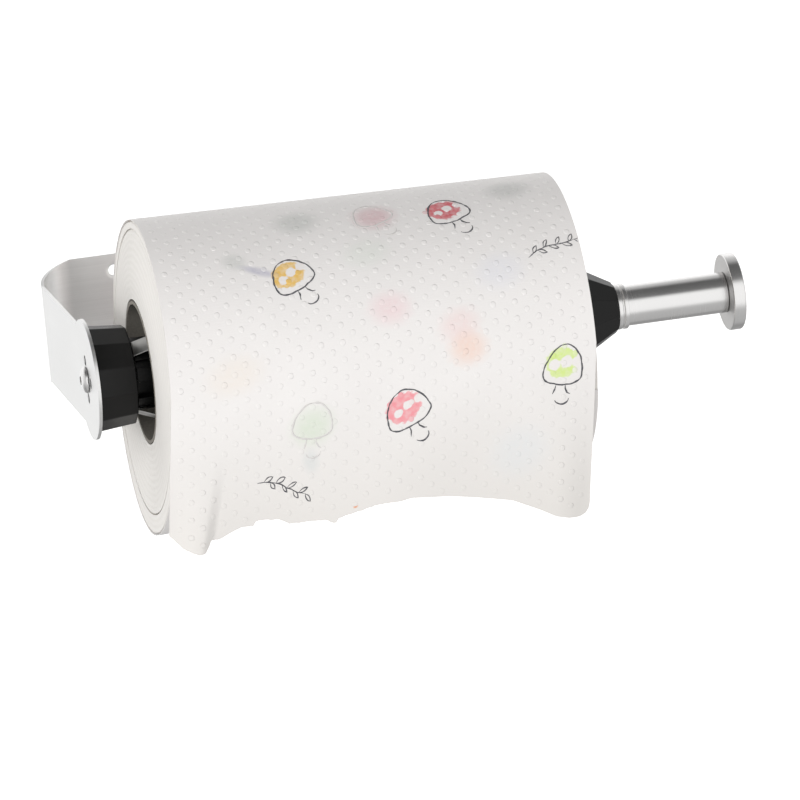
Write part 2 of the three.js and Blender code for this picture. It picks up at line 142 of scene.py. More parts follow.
# the torn lower edge: distance along the towel's width, and how far it hangs there
TORN_EDGE = [
    (0, 61), (6.5, 67.5), (11, 70), (14, 71), (16.5, 70.5), (18.4, 68), (19.4, 65.5), (23.5, 66),
    (30, 63), (34, 62), (39.5, 62.3), (41, 60), (52, 61), (56.5, 63.8), (63, 64), (73.5, 64.3),
    (78.5, 66.5), (79.8, 64.4), (91, 62), (97.5, 60.7), (109, 60.5), (114, 59.7), (132, 61.6),
    (144, 64), (162, 68), (176, 74.5), (183, 78.3), (190, 80.3), (195, 80.6), (198, 79.6),
    (199.5, 77.6), (200, 75),
]


# ---- places ----
def spot(x, forward, up):
    """A place in the row frame, in metres."""
    return Vector(((x + ARM_FACE) * MM, (SPINDLE_AXIS - forward) * MM, up * MM))


def around(x, radius, degrees):
    """A place at a radius and an angle round the spindle."""
    turn = math.radians(degrees)
    return spot(x, radius * math.cos(turn), radius * math.sin(turn))


def eased(value, start, end):
    """0 before start, 1 after end, and smooth between."""
    t = min(max((value - start) / (end - start), 0), 1)
    return t * t * (3 - 2 * t)


def between(pairs, value):
    """Reads a height from a list of (place, height), straight between its points."""
    for (a, low), (b, high) in zip(pairs, pairs[1:]):
        if value <= b:
            return low + (high - low) * (value - a) / (b - a)
    return pairs[-1][1]


# ---- camera and studio ----
def studio_camera():
    azimuth, elevation, tilt = (math.radians(v) for v in (-11.585, 13.122, 5.256))
    aim, distance_m = spot(145.3, 0, -29.9), 3.4
    back = Vector((math.sin(azimuth) * math.cos(elevation),
                   -math.cos(azimuth) * math.cos(elevation), math.sin(elevation)))
    right = Vector((math.cos(azimuth), math.sin(azimuth), 0))
    up = back.cross(right)
    across = right * math.cos(tilt) - up * math.sin(tilt)
    upright = right * math.sin(tilt) + up * math.cos(tilt)
    data = bpy.data.cameras.new("camera")
    data.lens = 329.66
    data.sensor_width = 36
    data.clip_end = 60
    camera = bpy.data.objects.new("camera", data)
    turned = Matrix((across, upright, back)).transposed().to_4x4()
    camera.matrix_world = Matrix.Translation(aim + back * distance_m) @ turned
    bpy.context.scene.collection.objects.link(camera)
    bpy.context.scene.camera = camera


def tint(hex_colour):
    """An sRGB hex colour as the linear colour that shaders use."""
    parts = [int(hex_colour[i:i + 2], 16) / 255 for i in (1, 3, 5)]
    linear = [p / 12.92 if p <= 0.04045 else ((p + 0.055) / 1.055) ** 2.4 for p in parts]
    return (*linear, 1)


def feed(tree, node, settings):
    """Sets a node's properties, or its inputs by name or number. A node or an output that is
    given to an input is linked to it, and a node gives its first output."""
    for name, value in settings.items():
        if isinstance(value, bpy.types.Node):
            value = value.outputs[0]
        if isinstance(value, bpy.types.NodeSocket):
            tree.links.new(value, node.inputs[name])
        elif isinstance(name, int) or name in node.inputs:
            node.inputs[name].default_value = value
        else:
            setattr(node, name, value)


def add(tree, kind, settings=None):
    """Adds a node with its settings and links."""
    node = tree.nodes.new(kind)
    feed(tree, node, settings or {})
    return node


def studio_light():
    """A pale room: a wide soft front, a dimmer ceiling that steel shows as a grey band, a bright
    back and a pale ground. The camera itself sees plain white."""
    world = bpy.data.worlds.new("pale_studio")
    bpy.context.scene.world = world
    world.use_nodes = True
    tree = world.node_tree
    tree.nodes.clear()
    place = add(tree, "ShaderNodeTexCoord")
    parts = add(tree, "ShaderNodeSeparateXYZ", {0: place.outputs["Generated"]})
    front = add(tree, "ShaderNodeMath", {"operation": "MULTIPLY", 0: parts.outputs["Y"], 1: -1.0})
    turn = add(tree, "ShaderNodeMath", {"operation": "ARCTAN2", 0: parts.outputs["Z"], 1: front})
    share = add(tree, "ShaderNodeMapRange", {0: turn, 1: -math.pi, 2: math.pi})
    bands = add(tree, "ShaderNodeValToRGB", {0: share})
    # degrees from the front upwards, and how bright the room is there
    room = [(-180, 1.2), (-160, 1.2), (-148, 0.45), (-112, 0.35), (-98, 0.55), (-44, 0.62),
            (-26, 1.2), (33, 1.22), (46, 0.2), (98, 0.12), (113, 0.55), (130, 0.75),
            (148, 1.3), (180, 1.2)]
    stops = bands.color_ramp.elements
    while len(stops) < len(room):
        stops.new(0.5)
    for stop, (degrees, level) in zip(stops, room):
        stop.position = (degrees + 180) / 360
        stop.color = (level, level, level, 1)
    side = add(tree, "ShaderNodeMath", {"operation": "ABSOLUTE", 0: parts.outputs["X"]})
    ends = add(tree, "ShaderNodeMapRange", {0: side, 1: 0.75, 2: 0.98})
    mixed = add(tree, "ShaderNodeMix", {"data_type": "RGBA", 0: ends, 6: bands,
                                        7: (0.8, 0.8, 0.8, 1)})
    lit = add(tree, "ShaderNodeBackground", {"Strength": 0.95, "Color": mixed.outputs[2]})
    white = add(tree, "ShaderNodeBackground", {"Color": (1, 1, 1, 1), "Strength": 1.0})
    path = add(tree, "ShaderNodeLightPath")
    shown = add(tree, "ShaderNodeMixShader", {0: path.outputs["Is Camera Ray"], 1: lit, 2: white})
    add(tree, "ShaderNodeOutputWorld", {"Surface": shown})

    def lamp(name, place, size, power):
        data = bpy.data.lights.new(name, "AREA")
        data.shape = "DISK"
        data.size = size
        data.energy = power
        light = bpy.data.objects.new(name, data)
        aim = spot(130, 0, 0) - place
        light.matrix_world = (Matrix.Translation(place)
                              @ aim.to_track_quat("-Z", "Y").to_matrix().to_4x4())
        light.visible_camera = False
        light.visible_glossy = False
        bpy.context.scene.collection.objects.link(light)

    lamp("key_softbox", Vector((-1.0, -1.7, 0.75)), 1.3, 14)
    lamp("end_softbox", Vector((-1.5, -0.3, 0.25)), 1.0, 3)
    lamp("back_softbox", Vector((0.55, 0.8, 0.1)), 0.8, 7)
    bpy.context.scene.view_settings.view_transform = "Standard"


def pale_floor():
    """A big plain floor under the holder."""
    finish, tree, shader = new_finish("pale_floor")
    feed(tree, shader, {"Base Color": tint("#f4f4f2"), "Roughness": 0.8,
                        "Emission Color": (1, 1, 1, 1), "Emission Strength": 0.75})
    bm = bmesh.new()
    bmesh.ops.create_circle(bm, cap_ends=True, segments=64, radius=9)
    mesh = bpy.data.meshes.new("floor")
    bm.to_mesh(mesh)
    bm.free()
    mesh.transform(Matrix.Translation((0, 0, -0.6)))
    mesh.materials.append(finish)
    floor = bpy.data.objects.new("floor", mesh)
    floor.visible_glossy = False
    floor.visible_diffuse = False
    bpy.context.scene.collection.objects.link(floor)


# ---- finishes ----
def new_finish(name):
    """A material with an empty tree, its shader and its output."""
    material = bpy.data.materials.new(name)
    material.use_nodes = True
    tree = material.node_tree
    tree.nodes.clear()
    shader = add(tree, "ShaderNodeBsdfPrincipled")
    add(tree, "ShaderNodeOutputMaterial", {"Surface": shader})
    return material, tree, shader


def surfaced(tree, shader, mix, colours, height, relief, strength, settings):
    """Ends a finish: mix goes between its two tints, and height is its relief, in metres."""
    shade = add(tree, "ShaderNodeMix", {"data_type": "RGBA", 0: mix, 6: tint(colours[0]),
                                        7: tint(colours[1])})
    bump = add(tree, "ShaderNodeBump", {"Strength": strength, "Distance": relief,
                                        "Height": height})
    feed(tree, shader, {"Base Color": shade.outputs[2], "Normal": bump, **settings})


def grained(name, colours, roughness, stretch, relief, metal=1.0, detail=4.0, gloss=0.5):
    """A finish whose colour, roughness and relief all follow one grain. stretch is the grain's
    number of features per metre along x, y and z, and relief is its depth in metres."""
    material, tree, shader = new_finish(name)
    place = add(tree, "ShaderNodeTexCoord").outputs["Object"]
    laid = add(tree, "ShaderNodeMapping", {"Scale": stretch, 0: place})
    grain = add(tree, "ShaderNodeTexNoise", {"Scale": 1.0, "Detail": detail, "Roughness": 0.6,
                                             "Vector": laid})
    cloud = add(tree, "ShaderNodeTexNoise", {"Scale": 45.0, "Detail": 2.0, "Vector": place})
    both = add(tree, "ShaderNodeMix", {0: 0.3, 2: grain, 3: cloud})
    matt = add(tree, "ShaderNodeMapRange", {0: both, 1: 0.3, 2: 0.7, 3: roughness[0],
                                            4: roughness[1]})
    surfaced(tree, shader, both, colours, grain, relief, 1.0,
             {"Metallic": metal, "Specular IOR Level": gloss, "Roughness": matt})
    return material


def wash_group():
    """One patch of ink: 1 inside a tilted ellipse, 0 outside it, with an uneven edge."""
    group = bpy.data.node_groups.new("ink_wash", "ShaderNodeTree")
    for name, kind in (("Place", "Vector"), ("Centre", "Vector"), ("Tilt", "Vector"),
                       ("Radii", "Vector"), ("Wobble", "Float"), ("Inner", "Float"),
                       ("Outer", "Float")):
        group.interface.new_socket(name, in_out="INPUT", socket_type="NodeSocket" + kind)
    group.interface.new_socket("Ink", in_out="OUTPUT", socket_type="NodeSocketFloat")
    given = add(group, "NodeGroupInput").outputs
    laid = add(group, "ShaderNodeMapping", {"vector_type": "TEXTURE", 0: given["Place"],
                                            1: given["Centre"], 2: given["Tilt"],
                                            3: given["Radii"]})
    far = add(group, "ShaderNodeVectorMath", {"operation": "LENGTH", 0: laid})
    edge = add(group, "ShaderNodeMath", {"operation": "ADD", 0: far.outputs["Value"],
                                         1: given["Wobble"]})
    ink = add(group, "ShaderNodeMapRange", {"interpolation_type": "SMOOTHSTEP", 0: edge,
                                            1: given["Inner"], 2: given["Outer"], 3: 1.0, 4: 0.0})
    add(group, "NodeGroupOutput", {0: ink})
    return group


# Doodles on the towel: place across its width and up from the front (down is negative), tilt in
# degrees, the cap's half-width, its height above and below its middle, the size of its pale
# spots, and its ink.
DOODLES = [
    (63.9, 49.2, 26, 9.9, 10.4, 6.2, 1.1, "#e8bd5e"),
    (144.3, 77.3, 18, 9.9, 11.2, 6.6, 1.0, "#cf5a64"),
    (111.6, -20, 24, 10.3, 11.2, 6.4, 0.95, "#f0979f"),
    (184.5, -10.8, -8, 9.2, 12.2, 6.4, 1.3, "#d5e98f"),
]
# Prints of the layer underneath, seen faintly: place, tilt, half-width, half-height, ink and
# strength.
FAINT = [
    (109, 81, 12, 10, 9, "#cd8f98", 0.5), (106, 29, 0, 10, 8, "#eec3c8", 0.4),
    (137, 17, 20, 10, 8, "#eec9c6", 0.4), (140, 6, 12, 9, 8, "#f2bfa4", 0.45),
    (66.5, -20, 12, 10, 9, "#c3dab8", 0.42), (66, -36, 12, 4, 6, "#c9d0d0", 0.4),
    (176, 92, 12, 11, 9, "#a8aca8", 0.4), (72.5, 84, 12, 11, 9, "#a9b0aa", 0.4),
    (48.5, 55, -24, 9, 2.2, "#8f8fae", 0.5), (38, 62, -20, 6, 5, "#a9b0aa", 0.32),
    (87.5, -60, 12, 1.1, 0.7, "#e98f4f", 0.9), (160, 40, 12, 12, 9, "#d3d8ea", 0.25),
    (30, 8, 12, 14, 9, "#eedfcd", 0.3), (165, -45, 12, 14, 12, "#d9e2e8", 0.28),
    (100, 58, 12, 12, 8, "#d5e0d3", 0.3),
]
# the printed pattern comes again every 190 mm round the roll, each time 115 mm further across
REPEAT = 190
REPEATS = 3
SIDESTEP = 115
REPEAT_FROM = -85


def prints(marks):
    """Every mark on the whole towel, on each repeat of the pattern."""
    for again in range(REPEATS):
        for across, up, *rest in marks:
            yield (across + SIDESTEP * again) % ROLL_LENGTH, up + REPEAT * again, *rest


def towel_place_once(tree, place):
    """Folds the towel's places back onto the first repeat of its pattern."""
    parts = add(tree, "ShaderNodeSeparateXYZ", {0: place})
    counted = add(tree, "ShaderNodeMath", {"operation": "MULTIPLY_ADD", 0: parts.outputs["Y"],
                                           1: 1 / (REPEAT * MM), 2: -REPEAT_FROM / REPEAT})
    again = add(tree, "ShaderNodeMath", {"operation": "FLOOR", 0: counted})
    back = add(tree, "ShaderNodeMath", {"operation": "MULTIPLY_ADD", 0: again, 1: -SIDESTEP * MM,
                                        2: parts.outputs["X"]})
    across = add(tree, "ShaderNodeMath", {"operation": "WRAP", 0: back, 1: ROLL_LENGTH * MM,
                                          2: 0.0})
    up = add(tree, "ShaderNodeMath", {"operation": "MULTIPLY_ADD", 0: again, 1: -REPEAT * MM,
                                      2: parts.outputs["Y"]})
    return add(tree, "ShaderNodeCombineXYZ", {0: across, 1: up})


def towel_finish():
    """Two-ply embossed tissue: bonded pulp, creped across the roll. Matt and warm white, with a
    faint crepe relief, soft mottling and water-based prints that show through weakly."""
    material, tree, shader = new_finish("printed_tissue")
    place = add(tree, "ShaderNodeAttribute", {"attribute_name": "print_place"}).outputs["Vector"]
    blot = add(tree, "ShaderNodeTexNoise", {"Scale": 26.0, "Detail": 3.0, "Vector": place})
    colour = add(tree, "ShaderNodeMix", {"data_type": "RGBA", 0: blot.outputs["Fac"],
                                         6: tint("#e9e6e4"), 7: tint("#f1eeec")}).outputs[2]
    # painted shade: greyer where it hangs free, with no white layers behind it
    parts = add(tree, "ShaderNodeSeparateXYZ", {0: place})
    free = add(tree, "ShaderNodeMapRange", {0: parts.outputs["Y"], 1: -6 * MM, 2: -74 * MM, 3: 0.0,
                                            4: 0.62})
    colour = add(tree, "ShaderNodeMix", {"data_type": "RGBA", 0: free, 6: colour,
                                         7: tint("#dcd8d2")}).outputs[2]
    once = towel_place_once(tree, place)
    # ink runs a little along the fibres, so each patch has an uneven edge about 1 mm deep
    run = add(tree, "ShaderNodeTexNoise", {"Scale": 420.0, "Detail": 3.0, "Vector": place})
    wobble = add(tree, "ShaderNodeMapRange", {0: run.outputs["Fac"], 3: -0.3, 4: 0.3})
    streaks = add(tree, "ShaderNodeMapRange", {0: run.outputs["Fac"], 1: 0.35, 2: 0.6, 3: 0.7,
                                               4: 1.0})
    group = wash_group()

    def wash(under, ink, centre, tilt, radii, strength, inner, outer):
        """Lays one patch of ink over the colour so far."""
        patch = add(tree, "ShaderNodeGroup", {"node_tree": group,
                                              "Centre": [v * MM for v in (*centre, 0)],
                                              "Tilt": (0, 0, math.radians(tilt)),
                                              "Radii": (radii[0] * MM, radii[1] * MM, 1),
                                              "Inner": inner, "Outer": outer, "Place": once,
                                              "Wobble": wobble})
        weak = add(tree, "ShaderNodeMath", {"operation": "MULTIPLY", 0: patch, 1: strength})
        worn = add(tree, "ShaderNodeMath", {"operation": "MULTIPLY", 0: weak, 1: streaks})
        return add(tree, "ShaderNodeMix", {"data_type": "RGBA", 0: worn, 6: under,
                                           7: tint(ink)}).outputs[2]

    for across, up, tilt, wide, high, ink, strength in FAINT:
        colour = wash(colour, ink, (across, up), tilt, (wide, high), strength, 0.3, 1.4)
    for across, up, tilt, half, top, bottom, pale, ink in DOODLES:
        turn = math.radians(tilt)

        def beside(right, above):
            return (across + right * math.cos(turn) - above * math.sin(turn),
                    up + right * math.sin(turn) + above * math.cos(turn))

        middle = (top - bottom) / 2 + 1
        colour = wash(colour, ink, beside(-1.1, middle), tilt,
                      (half * 0.88, (top + bottom) * 0.4), 0.95, 0.88, 1.03)
        for right, above, size in ((-4.4, -1.3, 2.5), (1.0, 0.2, 2.7), (6.6, 0.4, 2.6)):
            colour = wash(colour, "#ece8e6", beside(right, middle + above), tilt,
                          (size * pale, size * pale * 0.9), 1.25, 0.72, 1.0)
    # crepe lines run across the roll about 0.4 mm apart, drawn at 0.8 mm so that they show
    laid = add(tree, "ShaderNodeMapping", {"Scale": (160, 1250, 1), 0: place})
    crepe = add(tree, "ShaderNodeTexNoise", {"Scale": 1.0, "Detail": 3.0, "Roughness": 0.6,
                                             "Vector": laid})
    bump = add(tree, "ShaderNodeBump", {"Strength": 0.35, "Distance": 0.0002,
                                        "Height": crepe.outputs["Fac"]})
    feed(tree, shader, {"Roughness": 0.92, "Specular IOR Level": 0.25, "Sheen Weight": 0.15,
                        "Sheen Roughness": 0.5, "Base Color": colour, "Normal": bump})
    return material


def wound_finish():
    """The roll's own turns of tissue, cut square at the ends: warm white, with rings that follow
    the turns."""
    material, tree, shader = new_finish("wound_tissue")
    place = add(tree, "ShaderNodeTexCoord").outputs["Object"]
    centred = add(tree, "ShaderNodeMapping", {"Location": (0, -SPINDLE_AXIS * MM, 0), 0: place})
    rings = add(tree, "ShaderNodeTexWave", {
        "wave_type": "RINGS", "rings_direction": "X", "Scale": 105.0, "Distortion": 2.5,
        "Detail": 2.0, "Detail Scale": 1.5, "Vector": centred})
    fibre = add(tree, "ShaderNodeTexNoise", {"Scale": 1600.0, "Detail": 3.0, "Vector": place})
    both = add(tree, "ShaderNodeMix", {0: 0.5, 2: rings.outputs["Fac"], 3: fibre})
    surfaced(tree, shader, both, ("#e9e6e1", "#f2efeb"), both, 0.0003, 0.3,
             {"Roughness": 0.95, "Specular IOR Level": 0.2})
    return material


def spun_steel_finish(name, colours, roughness, rings_per_m, relief):
    """Stainless bar turned in a lathe: fine rings round the axis on its faces and its rim."""
    material, tree, shader = new_finish(name)
    place = add(tree, "ShaderNodeTexCoord").outputs["Object"]
    centred = add(tree, "ShaderNodeMapping", {"Location": (0, -SPINDLE_AXIS * MM, 0), 0: place})
    across = add(tree, "ShaderNodeVectorMath", {"operation": "MULTIPLY", 0: centred,
                                                1: (0, 1, 1)})
    far = add(tree, "ShaderNodeVectorMath", {"operation": "LENGTH", 0: across})
    parts = add(tree, "ShaderNodeSeparateXYZ", {0: centred})
    along = add(tree, "ShaderNodeMath", {"operation": "ADD", 0: far.outputs["Value"], 1: parts})
    line = add(tree, "ShaderNodeTexNoise", {"noise_dimensions": "1D", "Scale": rings_per_m,
                                            "Detail": 3.0, "Roughness": 0.7, "W": along})
    smear = add(tree, "ShaderNodeTexNoise", {"Scale": 60.0, "Detail": 2.0, "Vector": place})
    both = add(tree, "ShaderNodeMix", {0: 0.4, 2: line, 3: smear})
    matt = add(tree, "ShaderNodeMapRange", {0: both, 1: 0.3, 2: 0.7, 3: roughness[0],
                                            4: roughness[1]})
    surfaced(tree, shader, both, colours, line, relief, 1.0,
             {"Metallic": 1.0, "Roughness": matt})
    return material


def core_board_finish():
    """Grey board: recycled pulp with a fine mottle."""
    material, tree, shader = new_finish("grey_core_board")
    place = add(tree, "ShaderNodeTexCoord").outputs["Object"]
    pulp = add(tree, "ShaderNodeTexNoise", {"Scale": 900.0, "Detail": 4.0, "Vector": place})
    surfaced(tree, shader, pulp, ("#7f7b74", "#a09b93"), pulp, 0.0002, 0.4,
             {"Roughness": 0.95, "Specular IOR Level": 0.2})
    return material


def all_finishes():
    return {
        # 304 strip, belt-brushed along its length: a silky, directional grey with fine scratches
        # 0.1 mm apart, drawn at 0.8 mm
        "bracket_steel": grained("brushed_stainless_strip", ("#d8d8d7", "#f1f1f0"), (0.3, 0.46),
                                 (14, 14, 1200), 0.000003),
        # turned and polished bar and tube: bright, with faint rings
        "polished_steel": spun_steel_finish("turned_stainless", ("#dbdad9", "#ebeae9"),
                                            (0.18, 0.29), 2600.0, 0.0000006),
        # the same bar faced off with a coarser tool: duller, and darker by painted shade
        "faced_steel_painted_shade": spun_steel_finish("faced_stainless_painted_shade", ("#b6b5b4", "#cbcac9"),
                                         (0.4, 0.55), 1500.0, 0.000003),
        # cold-rolled spring strip: greyer and duller than the bracket
        "spring_steel": grained("rolled_spring_steel", ("#b9b8b5", "#cfcecb"), (0.3, 0.45),
                                (700, 700, 90), 0.000004),
        # moulded ABS with a fine spark texture, 0.3 mm grit drawn at 0.5 mm
        "black_plastic": grained("moulded_black_abs", ("#070707", "#0e0e0e"), (0.3, 0.44),
                                 (2000, 2000, 2000), 0.00001, metal=0.0, detail=2.0, gloss=0.28),
        # moulded acetal: milky and slightly waxy
        "nylon": grained("moulded_white_nylon", ("#dcd7ca", "#e8e4d8"), (0.35, 0.5),
                         (500, 500, 500), 0.00001, metal=0.0),
        # pressed fibre washer: brown, open and dull
        "friction_fibre": grained("pressed_brown_fibre", ("#5c3f2b", "#7c5a42"), (0.8, 0.95),
                                  (1500, 1500, 1500), 0.00005, metal=0.0),
        # free-machining brass, turned: yellow with fine rings
        "brass": spun_steel_finish("turned_brass", ("#b98f45", "#d2ab62"), (0.22, 0.36), 2200.0,
                                   0.000002),
        # moulded nitrile rubber: black and matt
        "rubber": grained("matt_nitrile_rubber", ("#141414", "#1e1e1e"), (0.75, 0.9),
                          (1800, 1800, 1800), 0.00002, metal=0.0),
        "core_card": core_board_finish(),
        "wound_towel": wound_finish(),
        "towel_sheet": towel_finish(),
    }


# ---- making meshes ----
def piece_from(name, bm, slot):
    """Makes a linked object from a bmesh, faces outwards and shaded smooth."""
    bmesh.ops.recalc_face_normals(bm, faces=bm.faces)
    mesh = bpy.data.meshes.new(name)
    bm.to_mesh(mesh)
    bm.free()
    mesh.materials.append(finishes[slot])
    mesh.shade_smooth()
    piece = bpy.data.objects.new(name, mesh)
    bpy.context.scene.collection.objects.link(piece)
    return piece


def settled(piece):
    """Turns a piece's modifiers into plain mesh."""
    shown = piece.evaluated_get(bpy.context.evaluated_depsgraph_get())
    mesh = bpy.data.meshes.new_from_object(shown)
    piece.modifiers.clear()
    piece.data = mesh
    return piece


def eased_edges(piece, width, segments=3, angle=25):
    """Rounds a piece's edges by a width in millimetres."""
    bevel = piece.modifiers.new("edges", "BEVEL")
    bevel.width = width * MM
    bevel.segments = segments
    bevel.limit_method = "ANGLE"
    bevel.angle_limit = math.radians(angle)
    bevel.harden_normals = True
    return settled(piece)


def carved(piece, cutters):
    """Cuts other pieces out of a piece, and removes them."""
    for cutter in cutters:
        cut = piece.modifiers.new("cut", "BOOLEAN")
        cut.operation = "DIFFERENCE"
        cut.solver = "EXACT"
        cut.object = cutter
    settled(piece)
    for cutter in cutters:
        bpy.data.objects.remove(cutter)
    return piece


def flattened(piece, angle):
    """Keeps flat faces flat in shading, with edges over an angle sharp."""
    piece.data.set_sharp_from_angle(angle=math.radians(angle))
    weighted = piece.modifiers.new("flat_faces", "WEIGHTED_NORMAL")
    weighted.keep_sharp = True
    weighted.weight = 100
    return settled(piece)


def skinned(bm, rings):
    """Joins closed rings of as many points each with quads."""
    for here, there in zip(rings, rings[1:]):
        for i in range(len(here)):
            j = (i + 1) % len(here)
            bm.faces.new((here[i], here[j], there[j], there[i]))


def spun(name, profile, slot, sides=128, corner=0.0, place=around):
    """Turns a closed profile of (x, radius) round the spindle. A radius of 0 is a pole."""
    bm = bmesh.new()
    rings = []
    for x, radius in profile:
        count = sides if radius else 1
        rings.append([bm.verts.new(place(x, radius, corner + 360 * i / sides))
                      for i in range(count)])
    for here, there in zip(rings, rings[1:] + rings[:1]):
        if len(here) + len(there) == 2:
            continue
        for i in range(sides):
            j = (i + 1) % sides
            loop = [here[i % len(here)], here[j % len(here)],
                    there[j % len(there)], there[i % len(there)]]
            bm.faces.new(dict.fromkeys(loop))
    return piece_from(name, bm, slot)


def stands_for(piece, body, slot, *nodes):
    """Puts a piece on its body in place of CAD nodes."""
    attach(piece, body)
    if nodes:
        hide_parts(*nodes)


# ---- Geometry Nodes: what repeats, and the wound roll ----
def new_tree(name, inputs):
    """A geometry tree with a mesh input, named inputs for its sizes, and its group sockets."""
    tree = bpy.data.node_groups.new(name, "GeometryNodeTree")
    tree.interface.new_socket("Mesh", in_out="INPUT", socket_type="NodeSocketGeometry")
    for label, kind in inputs.items():
        tree.interface.new_socket(label, in_out="INPUT", socket_type="NodeSocket" + kind)
    tree.interface.new_socket("Mesh", in_out="OUTPUT", socket_type="NodeSocketGeometry")
    return tree, add(tree, "NodeGroupInput").outputs


def close_tree(tree, mesh, given):
    """Ends a tree in real mesh with its finish."""
    real = add(tree, "GeometryNodeRealizeInstances", {0: mesh})
    smooth = add(tree, "GeometryNodeSetShadeSmooth", {0: real})
    done = add(tree, "GeometryNodeSetMaterial", {0: smooth, 2: given["Finish"]})
    add(tree, "NodeGroupOutput", {0: done})


def grown(name, tree, start, values):
    """Runs a tree on a start mesh and keeps the result as a plain piece."""
    piece = bpy.data.objects.new(name, start)
    bpy.context.scene.collection.objects.link(piece)
    made = piece.modifiers.new(tree.name, "NODES")
    made.node_group = tree
    for item in tree.interface.items_tree:
        if item.in_out == "INPUT" and item.name in values:
            made[item.identifier] = values[item.name]
    settled(piece)
    piece.data.name = name
    return piece


def ring_tree():
    """Copies a piece round the spindle at even steps: ribs, bosses and springs."""
    tree, given = new_tree("copies_round_spindle", {
        "Count": "Int", "Step": "Float", "Axis": "Vector", "Finish": "Material"})
    away = add(tree, "ShaderNodeVectorMath", {"operation": "SCALE", "Scale": -1.0,
                                              0: given["Axis"]})
    centred = add(tree, "GeometryNodeTransform", {0: given["Mesh"], "Translation": away})
    points = add(tree, "GeometryNodeMeshLine", {
        "mode": "OFFSET", "Offset": (0, 0, 0), "Count": given["Count"],
        "Start Location": given["Axis"]})
    number = add(tree, "GeometryNodeInputIndex")
    turn = add(tree, "ShaderNodeMath", {"operation": "MULTIPLY", 0: number, 1: given["Step"]})
    turned = add(tree, "ShaderNodeCombineXYZ", {0: turn})
    copies = add(tree, "GeometryNodeInstanceOnPoints", {
        "Points": points, "Instance": centred, "Rotation": turned})
    close_tree(tree, copies, given)
    return tree


def copied_round(name, piece, slot, count, step):
    """Replaces a piece by its copies round the spindle. step is in degrees."""
    start = piece.data
    bpy.data.objects.remove(piece)
    return grown(name, ring_copies, start, {
        "Count": count, "Step": math.radians(-step), "Axis": spot(0, 0, 0),
        "Finish": finishes[slot]})


